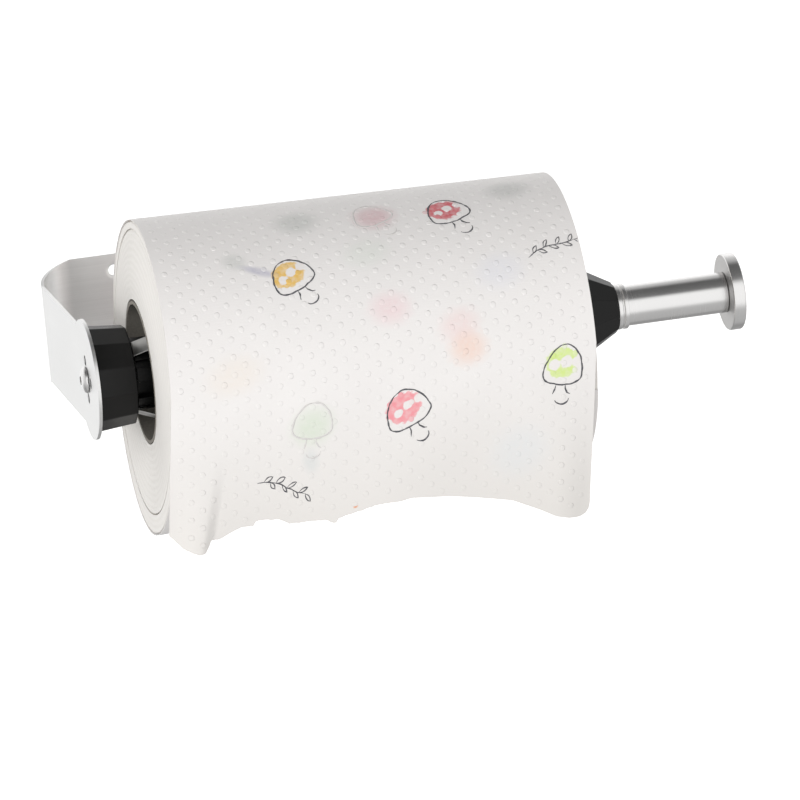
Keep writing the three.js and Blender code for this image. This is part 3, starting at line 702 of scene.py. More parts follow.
def dots_tree():
    """Presses low dots into a sheet, in a staggered pattern that follows its own flat places."""
    tree, given = new_tree("embossed_dots", {
        "Width": "Float", "Length": "Float", "Lowest": "Float", "Across": "Float",
        "Down": "Float", "Radius": "Float", "Height": "Float", "Sunk": "Float",
        "Finish": "Material"})
    span = add(tree, "ShaderNodeCombineXYZ", {0: given["Width"], 1: given["Length"]})
    step = add(tree, "ShaderNodeCombineXYZ", {0: given["Across"], 1: given["Down"], 2: 1.0})
    fits = add(tree, "ShaderNodeVectorMath", {"operation": "DIVIDE", 0: span, 1: step})
    count = add(tree, "ShaderNodeVectorMath", {"operation": "FLOOR", 0: fits})
    gaps = add(tree, "ShaderNodeVectorMath", {"operation": "SUBTRACT", 0: count, 1: (1, 1, 0)})
    filled = add(tree, "ShaderNodeVectorMath", {"operation": "MULTIPLY", 0: gaps, 1: step})
    counts = add(tree, "ShaderNodeSeparateXYZ", {0: count})
    sides = add(tree, "ShaderNodeSeparateXYZ", {0: filled})
    grid = add(tree, "GeometryNodeMeshGrid", {
        "Size X": sides, "Size Y": sides.outputs["Y"], "Vertices X": counts,
        "Vertices Y": counts.outputs["Y"]})
    # every other row steps aside by half a gap
    here = add(tree, "GeometryNodeInputPosition")
    where = add(tree, "ShaderNodeSeparateXYZ", {0: here})
    lines = add(tree, "ShaderNodeMath", {"operation": "DIVIDE", 0: where.outputs["Y"],
                                         1: given["Down"]})
    row = add(tree, "ShaderNodeMath", {"operation": "ROUND", 0: lines})
    odd = add(tree, "ShaderNodeMath", {"operation": "FLOORED_MODULO", 0: row, 1: 2.0})
    share = add(tree, "ShaderNodeMath", {"operation": "MULTIPLY_ADD", 0: odd, 1: 0.5, 2: -0.25})
    aside = add(tree, "ShaderNodeMath", {"operation": "MULTIPLY", 0: share, 1: given["Across"]})
    shift = add(tree, "ShaderNodeCombineXYZ", {0: aside})
    lowest = add(tree, "ShaderNodeCombineXYZ", {1: given["Lowest"]})
    half = add(tree, "ShaderNodeVectorMath", {"operation": "SCALE", "Scale": 0.5, 0: span})
    flat = here
    for move in (shift, half, lowest):
        flat = add(tree, "ShaderNodeVectorMath", {"operation": "ADD", 0: flat, 1: move})
    kept = add(tree, "GeometryNodeStoreNamedAttribute", {
        "data_type": "FLOAT_VECTOR", "domain": "POINT", "Name": "print_place", 0: grid,
        "Value": flat})
    own = add(tree, "GeometryNodeInputNamedAttribute", {
        "data_type": "FLOAT_VECTOR", "Name": "print_place"})
    place, normal = (add(tree, "GeometryNodeSampleUVSurface", {
        "data_type": "FLOAT_VECTOR", "Mesh": given["Mesh"], "UV Map": own, "Sample UV": flat,
        "Value": add(tree, kind)})
        for kind in ("GeometryNodeInputPosition", "GeometryNodeInputNormal"))
    missing = add(tree, "FunctionNodeBooleanMath", {"operation": "NOT",
                                                    0: place.outputs["Is Valid"]})
    turned = add(tree, "FunctionNodeAlignRotationToVector", {"axis": "Z", "Vector": normal})
    down = add(tree, "ShaderNodeVectorMath", {"operation": "SCALE", 0: normal,
                                              "Scale": given["Sunk"]})
    sunk = add(tree, "ShaderNodeVectorMath", {"operation": "SUBTRACT", 0: place, 1: down})
    turn_kept = add(tree, "GeometryNodeStoreNamedAttribute", {
        "data_type": "QUATERNION", "domain": "POINT", "Name": "dot_turn", 0: kept,
        "Value": turned})
    away = add(tree, "GeometryNodeStoreNamedAttribute", {
        "data_type": "BOOLEAN", "domain": "POINT", "Name": "off_sheet", 0: turn_kept,
        "Value": missing})
    moved = add(tree, "GeometryNodeSetPosition", {0: away, "Position": sunk})
    off = add(tree, "GeometryNodeInputNamedAttribute", {
        "data_type": "BOOLEAN", "Name": "off_sheet"})
    on_sheet = add(tree, "GeometryNodeDeleteGeometry", {
        "domain": "POINT", 0: moved, "Selection": off})
    dot = add(tree, "GeometryNodeMeshUVSphere", {"Segments": 10, "Rings": 5, "Radius": 1.0})
    size = add(tree, "ShaderNodeCombineXYZ", {
        0: given["Radius"], 1: given["Radius"], 2: given["Height"]})
    turns = add(tree, "GeometryNodeInputNamedAttribute", {
        "data_type": "QUATERNION", "Name": "dot_turn"})
    dots = add(tree, "GeometryNodeInstanceOnPoints", {
        "Points": on_sheet, "Instance": dot, "Rotation": turns, "Scale": size})
    close_tree(tree, dots, given)
    return tree


def wound_tree():
    """Winds a band of tissue into a roll: a spiral with a thin gap between its turns, whose edges
    wander a little from turn to turn and whose outer corners are soft."""
    tree, given = new_tree("wound_roll", {
        "Bore": "Float", "Radius": "Float", "Turns": "Float", "Width": "Float",
        "Thickness": "Float", "Wander": "Float", "Corner": "Float", "Finish": "Material"})
    spiral = add(tree, "GeometryNodeCurveSpiral", {
        "Resolution": 96, "Height": 0.0, "Rotations": given["Turns"],
        "Start Radius": given["Bore"], "End Radius": given["Radius"]})
    flat = add(tree, "GeometryNodeSetCurveNormal", {"mode": "Z_UP", 0: spiral})
    band = add(tree, "GeometryNodeCurvePrimitiveQuadrilateral", {
        "Width": given["Thickness"], "Height": given["Width"]})
    roll = add(tree, "GeometryNodeCurveToMesh", {
        "Fill Caps": True, "Curve": flat, "Profile Curve": band})
    here = add(tree, "GeometryNodeInputPosition")
    out = add(tree, "ShaderNodeVectorMath", {"operation": "MULTIPLY", 0: here, 1: (1, 1, 0)})
    far = add(tree, "ShaderNodeVectorMath", {"operation": "LENGTH", 0: out})
    # a quarter circle at the outer corner: how far past its start, then how far it has dropped
    start = add(tree, "ShaderNodeMath", {"operation": "SUBTRACT", 0: given["Radius"],
                                         1: given["Corner"]})
    drop = far.outputs["Value"]
    for operation, other in (("SUBTRACT", start), ("MAXIMUM", 0.0), ("DIVIDE", given["Corner"]),
                             ("POWER", 2.0), ("SUBTRACT", 1.0), ("MINIMUM", 0.0),
                             ("MULTIPLY", -1.0), ("SQRT", 0.0), ("SUBTRACT", 1.0),
                             ("MULTIPLY", given["Corner"]), ("MULTIPLY", -1.0)):
        drop = add(tree, "ShaderNodeMath", {"operation": operation, 0: drop, 1: other})
    # the edge wanders the same way along one turn, and another way along the next
    spread = add(tree, "ShaderNodeVectorMath", {"operation": "SCALE", "Scale": 260.0, 0: here})
    wander = add(tree, "ShaderNodeTexNoise", {"Scale": 1.0, "Detail": 2.0, "Vector": spread})
    loose = add(tree, "ShaderNodeMath", {"operation": "MULTIPLY_ADD", 0: wander,
                                         1: given["Wander"], 2: drop})
    where = add(tree, "ShaderNodeSeparateXYZ", {0: here})
    side = add(tree, "ShaderNodeMath", {"operation": "SIGN", 0: where.outputs["Z"]})
    outward = add(tree, "ShaderNodeMath", {"operation": "MULTIPLY", 0: loose, 1: side})
    inward = add(tree, "ShaderNodeMath", {"operation": "MULTIPLY", 0: outward, 1: -1.0})
    shift = add(tree, "ShaderNodeCombineXYZ", {2: inward})
    shaped = add(tree, "GeometryNodeSetPosition", {0: roll, "Offset": shift})
    close_tree(tree, shaped, given)
    return tree


# ---- bracket ----
def strip_stations():
    """The bent strip as stations: outer point, inner point (x, back) and half-height."""
    stations = []
    for i in range(1, 33):
        along = -ROUND_END * math.cos(math.pi * i / 64)
        stations.append((along, math.sqrt(ROUND_END ** 2 - along ** 2)))
    meet = math.sqrt(ROUND_END ** 2 - ARM_HALF ** 2)
    for i in range(1, 13):
        along = meet * i / 12
        stations.append((along, math.sqrt(ROUND_END ** 2 - along ** 2)))
    stations += [(meet + 4, ARM_HALF), (ARM_LENGTH - BEND - 4, ARM_HALF)]
    made = [((0, along), (STRIP, along), half) for along, half in stations]
    for i in range(33):
        turn = math.pi / 2 * i / 32
        made.append((
            (BEND * (1 - math.cos(turn)), ARM_LENGTH - BEND + BEND * math.sin(turn)),
            (BEND - (BEND - STRIP) * math.cos(turn),
             ARM_LENGTH - BEND + (BEND - STRIP) * math.sin(turn)),
            ARM_HALF + (PLATE_HALF - ARM_HALF) * i / 32,
        ))
    for i in range(17):
        turn = math.pi / 2 * i / 16
        x = PLATE_END - PLATE_CORNER + PLATE_CORNER * math.sin(turn)
        half = PLATE_HALF - PLATE_CORNER + PLATE_CORNER * math.cos(turn)
        made.append(((x, ARM_LENGTH), (x, ARM_LENGTH - STRIP), half))
    return made


def wall_bracket():
    """One strip, bent once: quads from end to end, then its screw and peg holes."""
    bm = bmesh.new()
    rows = []
    tip = [bm.verts.new(spot(x, ROUND_END, 0)) for x in (0, STRIP)]
    for outer, inner, half in strip_stations():
        rows.append([bm.verts.new(spot(x, -back, up))
                     for (x, back), up in ((outer, half), (outer, -half),
                                           (inner, -half), (inner, half))])
    skinned(bm, rows)
    first = rows[0]
    for loop in ((first[0], first[1], tip[0]), (first[2], first[3], tip[1]),
                 (first[1], first[2], tip[1], tip[0]), (first[3], first[0], tip[0], tip[1])):
        bm.faces.new(loop)
    bm.faces.new(rows[-1])
    bracket = eased_edges(piece_from("bracket_strip", bm, "bracket_steel"), 0.22, angle=60)
    rim = 0.15
    cutters = []
    pegs = [(PEG_RING, 90 * i, PEG_HOLE) for i in range(4)]
    for ring, degrees, radius in [(0, 0, SCREW_HOLE), *pegs]:
        turn = math.radians(degrees)

        def peg_place(x, far, angle, ring=ring, turn=turn):
            a = math.radians(angle)
            return spot(x, ring * math.cos(turn) + far * math.cos(a),
                        ring * math.sin(turn) + far * math.sin(a))

        profile = [(-1, 0), (-1, radius + rim), (0, radius + rim), (rim, radius),
                   (STRIP - rim, radius), (STRIP, radius + rim), (STRIP + 1, radius + rim),
                   (STRIP + 1, 0)]
        cutters.append(spun("hole", profile, "bracket_steel", 40, place=peg_place))
    for x in WALL_HOLE_X:
        for up in WALL_HOLE_UP:

            def wall_place(back, far, angle, x=x, up=up):
                a = math.radians(angle)
                return spot(x + far * math.cos(a), -back, up + far * math.sin(a))

            front = ARM_LENGTH - STRIP
            profile = [(front - 1, 0), (front - 1, WALL_HOLE_SINK), (front, WALL_HOLE_SINK - 0.05),
                       (front + 1.15, WALL_HOLE), (ARM_LENGTH + 1, WALL_HOLE), (ARM_LENGTH + 1, 0)]
            cutters.append(spun("hole", profile, "bracket_steel", 40, place=wall_place))
    carved(bracket, cutters)
    flattened(bracket, 50)
    stands_for(bracket, "bracket", "bracket_steel", "wall_bracket")


def arm_screw():
    """Button head with a hexagon socket."""
    seat, reach = -0.3, 18
    profile = [(seat - 0.2 - SCREW_DOME, 0)]
    for i in range(1, 13):
        turn = math.pi / 2 * i / 12
        profile.append((seat - 0.2 - SCREW_DOME * math.cos(turn), SCREW_HEAD * math.sin(turn)))
    profile += [(seat, SCREW_HEAD - 0.1), (seat, SCREW_SHANK), (reach, SCREW_SHANK), (reach, 0)]
    screw = spun("arm_button_screw", profile, "polished_steel", 64)
    socket = spun("socket", [(-4, 0), (-4, SCREW_SOCKET), (-1.5, SCREW_SOCKET - 0.1), (-1.1, 0)],
                  "polished_steel", 6)
    carved(screw, [socket])
    flattened(screw, 40)
    stands_for(screw, "bracket", "polished_steel", "arm_screw")


# ---- spindle ----
def spindle():
    """The bright tube with its snap ring's groove, and the thick disc on its free end."""
    groove = TUBE - RING_GROOVE_DEPTH
    start, end = RING_GROOVE
    tube = spun("bright_tube", [
        (TUBE_START, TUBE_BORE), (TUBE_START, TUBE), (start, TUBE), (start, groove),
        (end, groove), (end, TUBE), (TUBE_END, TUBE), (TUBE_END, TUBE_BORE)], "polished_steel")
    stands_for(eased_edges(tube, 0.15), "bracket", "polished_steel", "spindle_tube")
    disc = spun("end_stop_disc", [
        (DISC_START, STUD_HOLE), (DISC_START, DISC), (DISC_END, DISC), (DISC_END, 0),
        (STUD_HOLE_END, 0), (STUD_HOLE_END, STUD_HOLE)], "polished_steel", 160)
    eased_edges(disc, 0.9, 4)
    # the flat faces take the duller steel, painted darker as painted shade
    disc.data.materials.append(finishes["faced_steel_painted_shade"])
    for face in disc.data.polygons:
        face.material_index = int(abs(face.normal.x) > 0.97)
    stands_for(disc, "bracket", "polished_steel", "end_disc")


# ---- hub ----
def hub():
    """The drafted shell with twelve flats, and the grip that it turns."""
    shell = spun("twelve_sided_hub", [
        (HUB_START, HUB_CAVITY[0]), (HUB_START, HUB_AT_ARM), (HUB_END, HUB_AT_ROLL),
        (HUB_END, HUB_BORE), (HUB_WEB, HUB_BORE), (HUB_WEB, HUB_CAVITY[1])],
        "black_plastic", HUB_SIDES, HUB_CORNER)
    stands_for(eased_edges(shell, 0.55, 3), "hub", "black_plastic", "hub_shell")
    grip_carrier()
    grip_springs()


def arc_block(name, start, end, bore, radius, first, last, slot):
    """A block with an arc section, from one angle to another."""
    bm = bmesh.new()
    steps = 8
    rings = []
    for i in range(steps + 1):
        degrees = first + (last - first) * i / steps
        rings.append([bm.verts.new(around(x, r, degrees))
                      for x, r in ((start, bore), (start, radius), (end, radius), (end, bore))])
    skinned(bm, rings)
    bm.faces.new(rings[0])
    bm.faces.new(rings[-1])
    return piece_from(name, bm, slot)


def joined(name, pieces):
    """Makes one piece of several."""
    first, *rest = pieces
    bm = bmesh.new()
    for piece in pieces:
        bm.from_mesh(piece.data)
    mesh = bpy.data.meshes.new(name)
    bm.to_mesh(mesh)
    bm.free()
    mesh.materials.append(first.data.materials[0])
    for piece in rest:
        bpy.data.objects.remove(piece)
    first.data = mesh
    first.name = name
    return first


def grip_carrier():
    """A ribbed sleeve: nine ribs in three groups, and a boss under each spring's foot."""
    floor = RIB - RIB_HEIGHT
    sleeve = eased_edges(spun("carrier_sleeve", [
        (CARRIER_START, SLIDING_BORE), (CARRIER_START, floor), (CARRIER_END, floor),
        (CARRIER_END, SLIDING_BORE)], "black_plastic", 96), 0.3)
    rib = eased_edges(arc_block("rib", CARRIER_START, CARRIER_END, RIB_ROOT, RIB,
                                GRIP_ANGLE + 15, GRIP_ANGLE + 37, "black_plastic"), 0.35, 2)
    group = copied_round("rib_group", rib, "black_plastic", 3, -RIB_STEP)
    ribs = copied_round("ribs", group, "black_plastic", GRIPS, 360 / GRIPS)
    boss = arc_block("boss", CARRIER_START, BOSS_END, RIB_ROOT, RIB,
                     GRIP_ANGLE - 15.4, GRIP_ANGLE + 15.4, "black_plastic")
    bosses = copied_round("bosses", boss, "black_plastic", GRIPS, 360 / GRIPS)
    carrier = joined("ribbed_grip_carrier", [sleeve, ribs, bosses])
    stands_for(carrier, "hub", "black_plastic", "grip_carrier")


def grip_springs():
    """Three leaves: a foot behind the carrier, a small bend, then a long bow to the core."""
    width, thickness = 8, 0.5
    foot, corner = 20.15, 1.3
    apex = math.sqrt((CORE_BORE - 0.3) ** 2 - (width / 2) ** 2) - thickness / 2
    x, root = foot + corner, RIB + 1.1
    knots = [(x, root), (x + 19.8, root + (apex - root) * 0.62), (x + 36, apex),
             (x + 50, apex - 6.5)]
    path = [(foot, RIB - 5.3), (foot, root - corner - 0.6)]
    path += [(foot + corner * (1 - math.cos(t)), root - corner * (1 - math.sin(t)))
             for t in (math.pi / 8 * i for i in range(4))]
    padded = [knots[0], *knots, knots[-1]]
    for a, b, c, d in zip(padded, padded[1:], padded[2:], padded[3:]):
        for i in range(12):
            t = i / 12
            path.append(tuple(0.5 * (2 * b[k] + (c[k] - a[k]) * t
                                     + (2 * a[k] - 5 * b[k] + 4 * c[k] - d[k]) * t * t
                                     + (3 * b[k] - a[k] - 3 * c[k] + d[k]) * t ** 3)
                              for k in (0, 1)))
    path.append(knots[-1])
    bm = bmesh.new()
    turn = math.radians(GRIP_ANGLE)
    rows = []
    for i, here in enumerate(path):
        before, after = path[max(i - 1, 0)], path[min(i + 1, len(path) - 1)]
        run = Vector((after[0] - before[0], after[1] - before[1])).normalized()
        off = Vector((-run.y, run.x)) * thickness / 2
        row = []
        for side, level in ((-1, -1), (1, -1), (1, 1), (-1, 1)):
            x, far = here[0] + off.x * level, here[1] + off.y * level
            across = side * width / 2
            row.append(bm.verts.new(spot(
                x, far * math.cos(turn) - across * math.sin(turn),
                far * math.sin(turn) + across * math.cos(turn))))
        rows.append(row)
    skinned(bm, rows)
    bm.faces.new(rows[0])
    bm.faces.new(rows[-1])
    leaf = eased_edges(piece_from("leaf", bm, "spring_steel"), 0.12, 2, 40)
    leaves = copied_round("grip_leaf_springs", leaf, "spring_steel", GRIPS, 360 / GRIPS)
    leaves.data.set_sharp_from_angle(angle=math.radians(35))
    stands_for(leaves, "hub", "spring_steel", "grip_spring_1", "grip_spring_2", "grip_spring_3")


# ---- cone and collar ----
def cone_and_collar():
    """The ten-sided cone, hollow behind a boss, and the steel collar that it turns on."""
    cone = spun("ten_sided_cone", [
        (CONE_START, CONE_CAVITY[0]), (CONE_START, CONE_AT_ROLL), (CONE_END, CONE_AT_END),
        (CONE_END, CONE_BORE), (CONE_BOSS_START, CONE_BORE), (CONE_BOSS_START, CONE_BOSS),
        (CONE_FLOOR, CONE_BOSS), (CONE_FLOOR, CONE_CAVITY[1])],
        "black_plastic", CONE_SIDES, CONE_CORNER)
    stands_for(eased_edges(cone, 0.45, 3), "cone", "black_plastic", "guide_cone")
    middle, groove = (COLLAR_START + COLLAR_END) / 2, COLLAR - COLLAR_GROOVE
    collar = spun("grooved_collar", [
        (CONE_BOSS_START, SLIDING_BORE), (CONE_BOSS_START, SLEEVE), (COLLAR_START, SLEEVE),
        (COLLAR_START, COLLAR), (middle - 0.5, COLLAR), (middle - 0.3, groove),
        (middle + 0.3, groove), (middle + 0.5, COLLAR), (COLLAR_END, COLLAR),
        (COLLAR_END, SLIDING_BORE)], "polished_steel")
    stands_for(eased_edges(collar, 0.3, 3), "collar", "polished_steel", "cone_collar")


# ---- roll ----
def roll():
    """The board core and the turns of towel wound on it."""
    core = spun("wound_board_core", [
        (ROLL_START, CORE_BORE), (ROLL_START, CORE), (ROLL_START + ROLL_LENGTH, CORE),
        (ROLL_START + ROLL_LENGTH, CORE_BORE)], "core_card", 160)
    stands_for(eased_edges(core, 0.2, 2), "roll", "core_card", "roll_core")
    turns = (ROLL - CORE - 0.3) / LAYER
    wound = grown("wound_towel_turns", wound_tree(), bpy.data.meshes.new("start"), {
        "Bore": (CORE + 0.3 + LAYER / 2) * MM, "Radius": (ROLL - LAYER / 2) * MM,
        "Turns": turns, "Width": ROLL_LENGTH * MM, "Thickness": (LAYER - 0.05) * MM,
        "Wander": 0.3 * MM, "Corner": 0.6 * MM, "Finish": finishes["wound_towel"]})
    # from the tree's own axes, spiral in x and y, to the spindle
    last = math.radians(360 * turns)
    stand = Matrix(((0, 0, 1), (-math.cos(last), math.sin(last), 0),
                    (math.sin(last), math.cos(last), 0))).to_4x4()
    wound.data.transform(Matrix.Translation(spot(ROLL_START + ROLL_LENGTH / 2, 0, 0)) @ stand)
    bm = bmesh.new()
    bm.from_mesh(wound.data)
    # its turns have slipped too, less and less towards the core
    for vert in bm.verts:
        back, up = vert.co.y / MM - SPINDLE_AXIS, vert.co.z / MM
        share = eased(math.hypot(back, up), CORE, ROLL) ** 2
        across = vert.co.x / MM - ARM_FACE - ROLL_START
        vert.co.x += slipped(across, math.degrees(math.atan2(up, -back))) * share * MM
    bmesh.ops.recalc_face_normals(bm, faces=bm.faces)
    bm.to_mesh(wound.data)
    bm.free()
    wound.data.set_sharp_from_angle(angle=math.radians(40))
    stands_for(wound, "roll", "wound_towel", "towel_roll")


# ---- the loose last turn ----
def loose_radius(across, degrees):
    """How far the loose turn stands from the spindle: slack at its left edge, and sagging below."""
    slack = max(1 - across / ROLL_LENGTH, 0)
    below = max(math.cos(math.radians(degrees - 262)), 0) ** 1.5
    return ROLL + 0.65 + 3.6 * slack + below * (0.5 + 5.2 * slack ** 1.3)


def slipped(across, degrees):
    """How far the loose turn has slipped along the roll: inwards above and outwards below."""
    slack = max(1 - across / ROLL_LENGTH, 0)
    return slack ** 1.5 * (0.7 + 3.2 * math.sin(math.radians(degrees)))


def towel_place(across, up):
    """Where a place on the flat towel is: up is its distance above the front, round the roll."""
    if up >= 0:
        degrees = math.degrees(up / WRAP_RADIUS)
        return around(ROLL_START + across + slipped(across, degrees),
                      loose_radius(across, degrees), degrees)
    hang = -up
    low = eased(hang, 24, 68)
    fold = 19 + (68 - hang) * 0.155
    flap = 3.8 * low * eased(across, 0, fold - 5) * (1 - eased(across, fold - 4.4, fold + 2.4))
    wave = 0.9 * eased(hang, 5, 60) * math.sin(across / 15 + 0.6)
    curl = -5 * eased(hang, 8, 78) * eased(across, 180, 203) ** 1.5
    forward = loose_radius(across, 0) + flap + wave + curl
    return spot(ROLL_START + across + slipped(across, 0) - LEAN * hang, forward, -hang)


def towel_normal(across, up):
    """The towel's outward direction at a place."""
    step = 0.4
    right = towel_place(across + step, up) - towel_place(across - step, up)
    above = towel_place(across, up + step) - towel_place(across, up - step)
    return right.cross(above).normalized()


def lower_edge(across):
    """How far the towel hangs, with the small bites of a torn edge."""
    ragged = noise.noise((across * 0.9, 3.7, 0)) * 0.45 * (1 - eased(across, 100, 112))
    return between(TORN_EDGE, across) + ragged


def towel_columns():
    """Places across the towel, closer together where it folds, tears or ends."""
    places = [0.0]
    while places[-1] < ROLL_LENGTH - 1e-6:
        here = places[-1]
        fine = here < 26 or 38 < here < 43 or 76 < here < 81 or here > 190
        places.append(min(here + (0.6 if fine else 1.5), ROLL_LENGTH))
    return places


def towel_rows(across):
    """Places up the towel, from its torn edge to where it goes under the hanging part."""
    hang = lower_edge(across)
    down = [-hang * (1 - i / 50) for i in range(50)]
    return down + [WRAP * i / 170 for i in range(171)]


def towel_sheet(columns):
    """The towel's last turn as one thin closed sheet: first its outer side, column by column,
    then its inner side, and quads between them round the rim."""
    bm = bmesh.new()
    places = bm.verts.layers.float_vector.new("print_place")
    sides = []
    for level in (SHEET / 2, -SHEET / 2):
        grid = []
        for across in columns:
            column = []
            for up in towel_rows(across):
                vert = bm.verts.new(towel_place(across, up)
                                    + towel_normal(across, up) * level * MM)
                vert[places] = (across * MM, up * MM, 0)
                column.append(vert)
            grid.append(column)
        for here, there in zip(grid, grid[1:]):
            for i in range(len(here) - 1):
                bm.faces.new((here[i], there[i], there[i + 1], here[i + 1]))
        sides.append(grid)
    count, rows = len(columns), len(sides[0][0])
    rim = [(i, 0) for i in range(count)] + [(count - 1, j) for j in range(1, rows)]
    rim += [(i, rows - 1) for i in range(count - 2, -1, -1)]
    rim += [(0, j) for j in range(rows - 2, 0, -1)]
    skinned(bm, [[grid[i][j] for i, j in rim] for grid in sides])
    sheet = piece_from("towel_last_turn", bm, "towel_sheet")
    sheet.data.set_sharp_from_angle(angle=math.radians(60))
    return sheet


def towel_dots(sheet, count):
    """The dots that are pressed into the sheet's outer side, up to a margin from its edges."""
    skin = sheet.data.copy()
    bm = bmesh.new()
    bm.from_mesh(skin)
    half = len(bm.verts) // 2
    rows = half // count
    side_margin, lower_margin = 3, 2
    margin = [v for i, v in enumerate(bm.verts) if i >= half or i % rows < lower_margin
              or not side_margin <= i // rows < count - side_margin]
    bmesh.ops.delete(bm, geom=margin, context="VERTS")
    bm.to_mesh(skin)
    bm.free()
    return grown("towel_embossing", dots_tree(), skin, {
        "Width": ROLL_LENGTH * MM, "Length": (WRAP + LOWEST) * MM, "Lowest": -LOWEST * MM,
        "Across": DOT_ACROSS * MM, "Down": DOT_DOWN * MM, "Radius": DOT * MM,
        "Height": DOT_HIGH * MM, "Sunk": DOT_SUNK * MM, "Finish": finishes["towel_sheet"]})


def towel():
    """The loose last turn, its embossing and the pen lines printed on it."""
    columns = towel_columns()
    sheet = towel_sheet(columns)
    dots = towel_dots(sheet, len(columns))
    lines = pen_lines("towel_pen_lines", [mark[:6] for mark in DOODLES],
                      [(186, 48.5, 20), (52.5, -46, -16)], 0.84,
                      pen_ink("grey_print_ink", "#3a3a3e", "#7c7c80"))
    below = pen_lines("towel_faint_lines", [
        (108.5, 81, 20, 9.2, 10.2, 6.2), (66.5, -19.5, -4, 9.2, 10.4, 6.2)], [], 0.9,
        pen_ink("faint_print_ink", "#d8d5d2", "#e2dfdd"))
    stands_for(sheet, "sheet", "towel_sheet", "towel_tail")
    for layer in (dots, lines, below):
        stands_for(layer, "sheet", "towel_sheet")
    longest = max(lower_edge(a) for a in columns)
    hang = sum((lower_edge(a) + lower_edge(b)) / 2 * (b - a) for a, b in zip(columns, columns[1:]))


def loose_turns():
    """The slack turns between the tight roll and the loose one, as one thick band."""
    bm = bmesh.new()
    stations = [0.15, 0.9, 2] + [2 + 198 * i / 24 for i in range(1, 24)] + [198.5, 199.85]
    sides = 144
    loops = []
    for inner in (True, False):
        rings = []
        for across in stations:
            edge = min(across, ROLL_LENGTH - across)
            soft = 0.9 * (1 - eased(edge, 0, 2.2))
            ring = []
            for i in range(sides):
                degrees = 360 * i / sides
                outer = loose_radius(across, degrees) - SHEET / 2 - 0.12
                far = ROLL + 0.12 if inner else max(outer - soft, ROLL + 0.2)
                ring.append(bm.verts.new(around(
                    ROLL_START + across + slipped(across, degrees), far, degrees)))
            rings.append(ring)
        loops.append(rings)
        skinned(bm, rings)
    for end in (0, -1):
        skinned(bm, (loops[0][end], loops[1][end]))
    band = piece_from("slack_turns", bm, "wound_towel")
    band.data.set_sharp_from_angle(angle=math.radians(50))
    stands_for(band, "sheet", "wound_towel")


# ---- pen lines ----
def doodle_strokes(half, top, bottom):
    """A toadstool in four pen strokes, upright: a domed cap with a flatter base, and its stem."""
    cap = []
    for i in range(74):
        t = math.radians(100 + 5 * i)
        rise = math.sin(t)
        high = top * rise if rise > 0 else -bottom * abs(rise) ** 0.7
        cap.append((half * math.cos(t) * (1 - 0.13 * rise), high))
    left = [(-2.3, -bottom), (-2.4, -bottom - 2), (-3.2, -bottom - 4.4)]
    right = [(2.0, -bottom), (2.3, -bottom - 1.8), (3.6, -bottom - 3.6), (4.9, -bottom - 4.3)]
    foot = []
    for i in range(13):
        t = math.radians(198 + 14 * i)
        foot.append((1.4 + 3.3 * math.cos(t), -bottom - 6.4 + 2.6 * math.sin(t)))
    return [cap, left, right, foot]


def sprig_strokes(size):
    """A small plain sprig: a wavy stem with pointed leaves on both sides."""
    stem = [(size * (i / 24 - 0.5), 1.5 * math.sin(i / 24 * 5)) for i in range(25)]
    strokes = [stem]
    for i in range(3, 25, 3):
        x, y = stem[i]
        side = 1 if i % 2 else -1
        leaf = []
        for k in range(17):
            along = 1 - abs(k - 8) / 8
            swell = math.sin(math.pi * along) * (0.8 if k < 8 else -0.8)
            leaf.append((x + 3.4 * along + swell * 0.5, y + side * (3.0 * along - swell)))
        strokes.append(leaf)
    return strokes


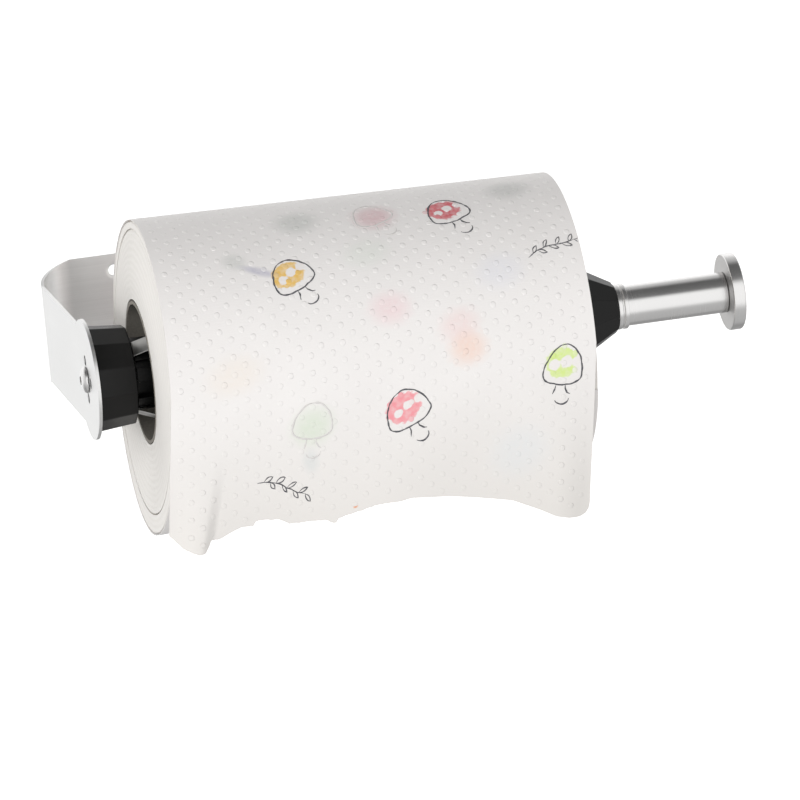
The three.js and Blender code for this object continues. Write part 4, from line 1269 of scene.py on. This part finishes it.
def pen_lines(name, toadstools, sprigs, width, ink):
    """Pen strokes as thin flat ribbons that lie on the towel and over its dots."""
    bm = bmesh.new()
    places = bm.verts.layers.float_vector.new("print_place")

    def stroke(points, across, up, tilt, width):
        turn = math.radians(tilt)
        path = []
        for (x0, y0), (x1, y1) in zip(points, points[1:]):
            steps = max(1, int(math.hypot(x1 - x0, y1 - y0) / 0.45))
            path += [(x0 + (x1 - x0) * i / steps, y0 + (y1 - y0) * i / steps)
                     for i in range(steps)]
        path.append(points[-1])
        laid = [(across + x * math.cos(turn) - y * math.sin(turn),
                 up + x * math.sin(turn) + y * math.cos(turn)) for x, y in path]
        rows = []
        for i, (x, y) in enumerate(laid):
            before, after = laid[max(i - 1, 0)], laid[min(i + 1, len(laid) - 1)]
            run = Vector((after[0] - before[0], after[1] - before[1])).normalized()
            shake = noise.noise((x * 0.35, y * 0.35, across)) * 0.35
            press = width * (0.8 + 0.5 * noise.noise((x * 0.6, y * 0.6, 9.1)))
            ends = min(i, len(laid) - 1 - i) / 4
            press *= 0.35 + 0.65 * min(ends, 1)
            pair = []
            for side in (-0.5, 0.5):
                a = x + (side * press + shake) * -run.y
                b = y + (side * press + shake) * run.x
                if not (0.3 < a < ROLL_LENGTH - 0.3 and b < WRAP - 1):
                    pair = None
                    break
                lift = SHEET / 2 + 0.05 + dot_height(a, b)
                vert = bm.verts.new(towel_place(a, b) + towel_normal(a, b) * lift * MM)
                vert[places] = (a * MM, b * MM, 0)
                pair.append(vert)
            if pair and rows and rows[-1]:
                bm.faces.new((rows[-1][0], rows[-1][1], pair[1], pair[0]))
            rows.append(pair)

    for across, up, tilt, half, top, bottom in prints(toadstools):
        for points in doodle_strokes(half, top, bottom):
            stroke(points, across, up, tilt, width)
    for across, up, tilt in prints(sprigs):
        for points in sprig_strokes(24):
            stroke(points, across, up, tilt, width * 0.7)
    for vert in [v for v in bm.verts if not v.link_faces]:
        bm.verts.remove(vert)
    mesh = bpy.data.meshes.new(name)
    bm.to_mesh(mesh)
    bm.free()
    mesh.materials.append(ink)
    mesh.shade_smooth()
    lines = bpy.data.objects.new(name, mesh)
    bpy.context.scene.collection.objects.link(lines)
    thick = lines.modifiers.new("thickness", "SOLIDIFY")
    thick.thickness = 0.04 * MM
    thick.offset = -1
    return settled(lines)


def dot_height(across, up):
    """How high the embossing stands at a place on the flat towel."""
    columns = math.floor(ROLL_LENGTH / DOT_ACROSS)
    rows = math.floor((WRAP + LOWEST) / DOT_DOWN)
    y = up + LOWEST - (WRAP + LOWEST) / 2
    middle_column, middle_row = (columns - 1) / 2, (rows - 1) / 2
    best = 0
    for nudge in (-1, 0, 1):
        j = round(y / DOT_DOWN + middle_row) + nudge
        y_dot = (j - middle_row) * DOT_DOWN
        odd = round(y_dot / DOT_DOWN) % 2
        shift = (odd - 0.5) * DOT_ACROSS / 2 + ROLL_LENGTH / 2
        i = round((across - shift) / DOT_ACROSS + middle_column)
        x_dot = (i - middle_column) * DOT_ACROSS + shift
        far = math.hypot(across - x_dot, y - y_dot) / DOT
        if far < 1:
            best = max(best, DOT_HIGH * math.sqrt(1 - far * far) - DOT_SUNK)
    return best


def pen_ink(name, dark, light):
    """Grey printing ink on tissue: flat, a little lighter where the fibres lift it."""
    material, tree, shader = new_finish(name)
    place = add(tree, "ShaderNodeAttribute", {"attribute_name": "print_place"}).outputs["Vector"]
    worn = add(tree, "ShaderNodeTexNoise", {"Scale": 700.0, "Detail": 3.0, "Vector": place})
    shade = add(tree, "ShaderNodeMix", {"data_type": "RGBA", 0: worn, 6: tint(dark),
                                        7: tint(light)})
    feed(tree, shader, {"Roughness": 0.85, "Specular IOR Level": 0.2,
                        "Base Color": shade.outputs[2]})
    return material


# ---- build ----
studio_camera()
studio_light()
pale_floor()
finishes = all_finishes()
ring_copies = ring_tree()
slots = {"damper_stator": "black_plastic", "tube_insert": "brass", "end_plug": "brass",
         "end_stud": "polished_steel", "thrust_washer": "nylon", "retaining_ring": "spring_steel",
         "hub_bush": "nylon", "friction_washer": "friction_fibre", "wave_washer": "spring_steel",
         "pressure_plate": "spring_steel", "grip_screw_1": "polished_steel",
         "grip_screw_2": "polished_steel", "grip_screw_3": "polished_steel", "cone_nut": "brass",
         "cone_o_ring": "rubber"}
for node, slot in slots.items():
    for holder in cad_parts[node].material_slots:
        holder.material = finishes[slot]
wall_bracket()
arm_screw()
spindle()
hub()
cone_and_collar()
roll()
loose_turns()
towel()
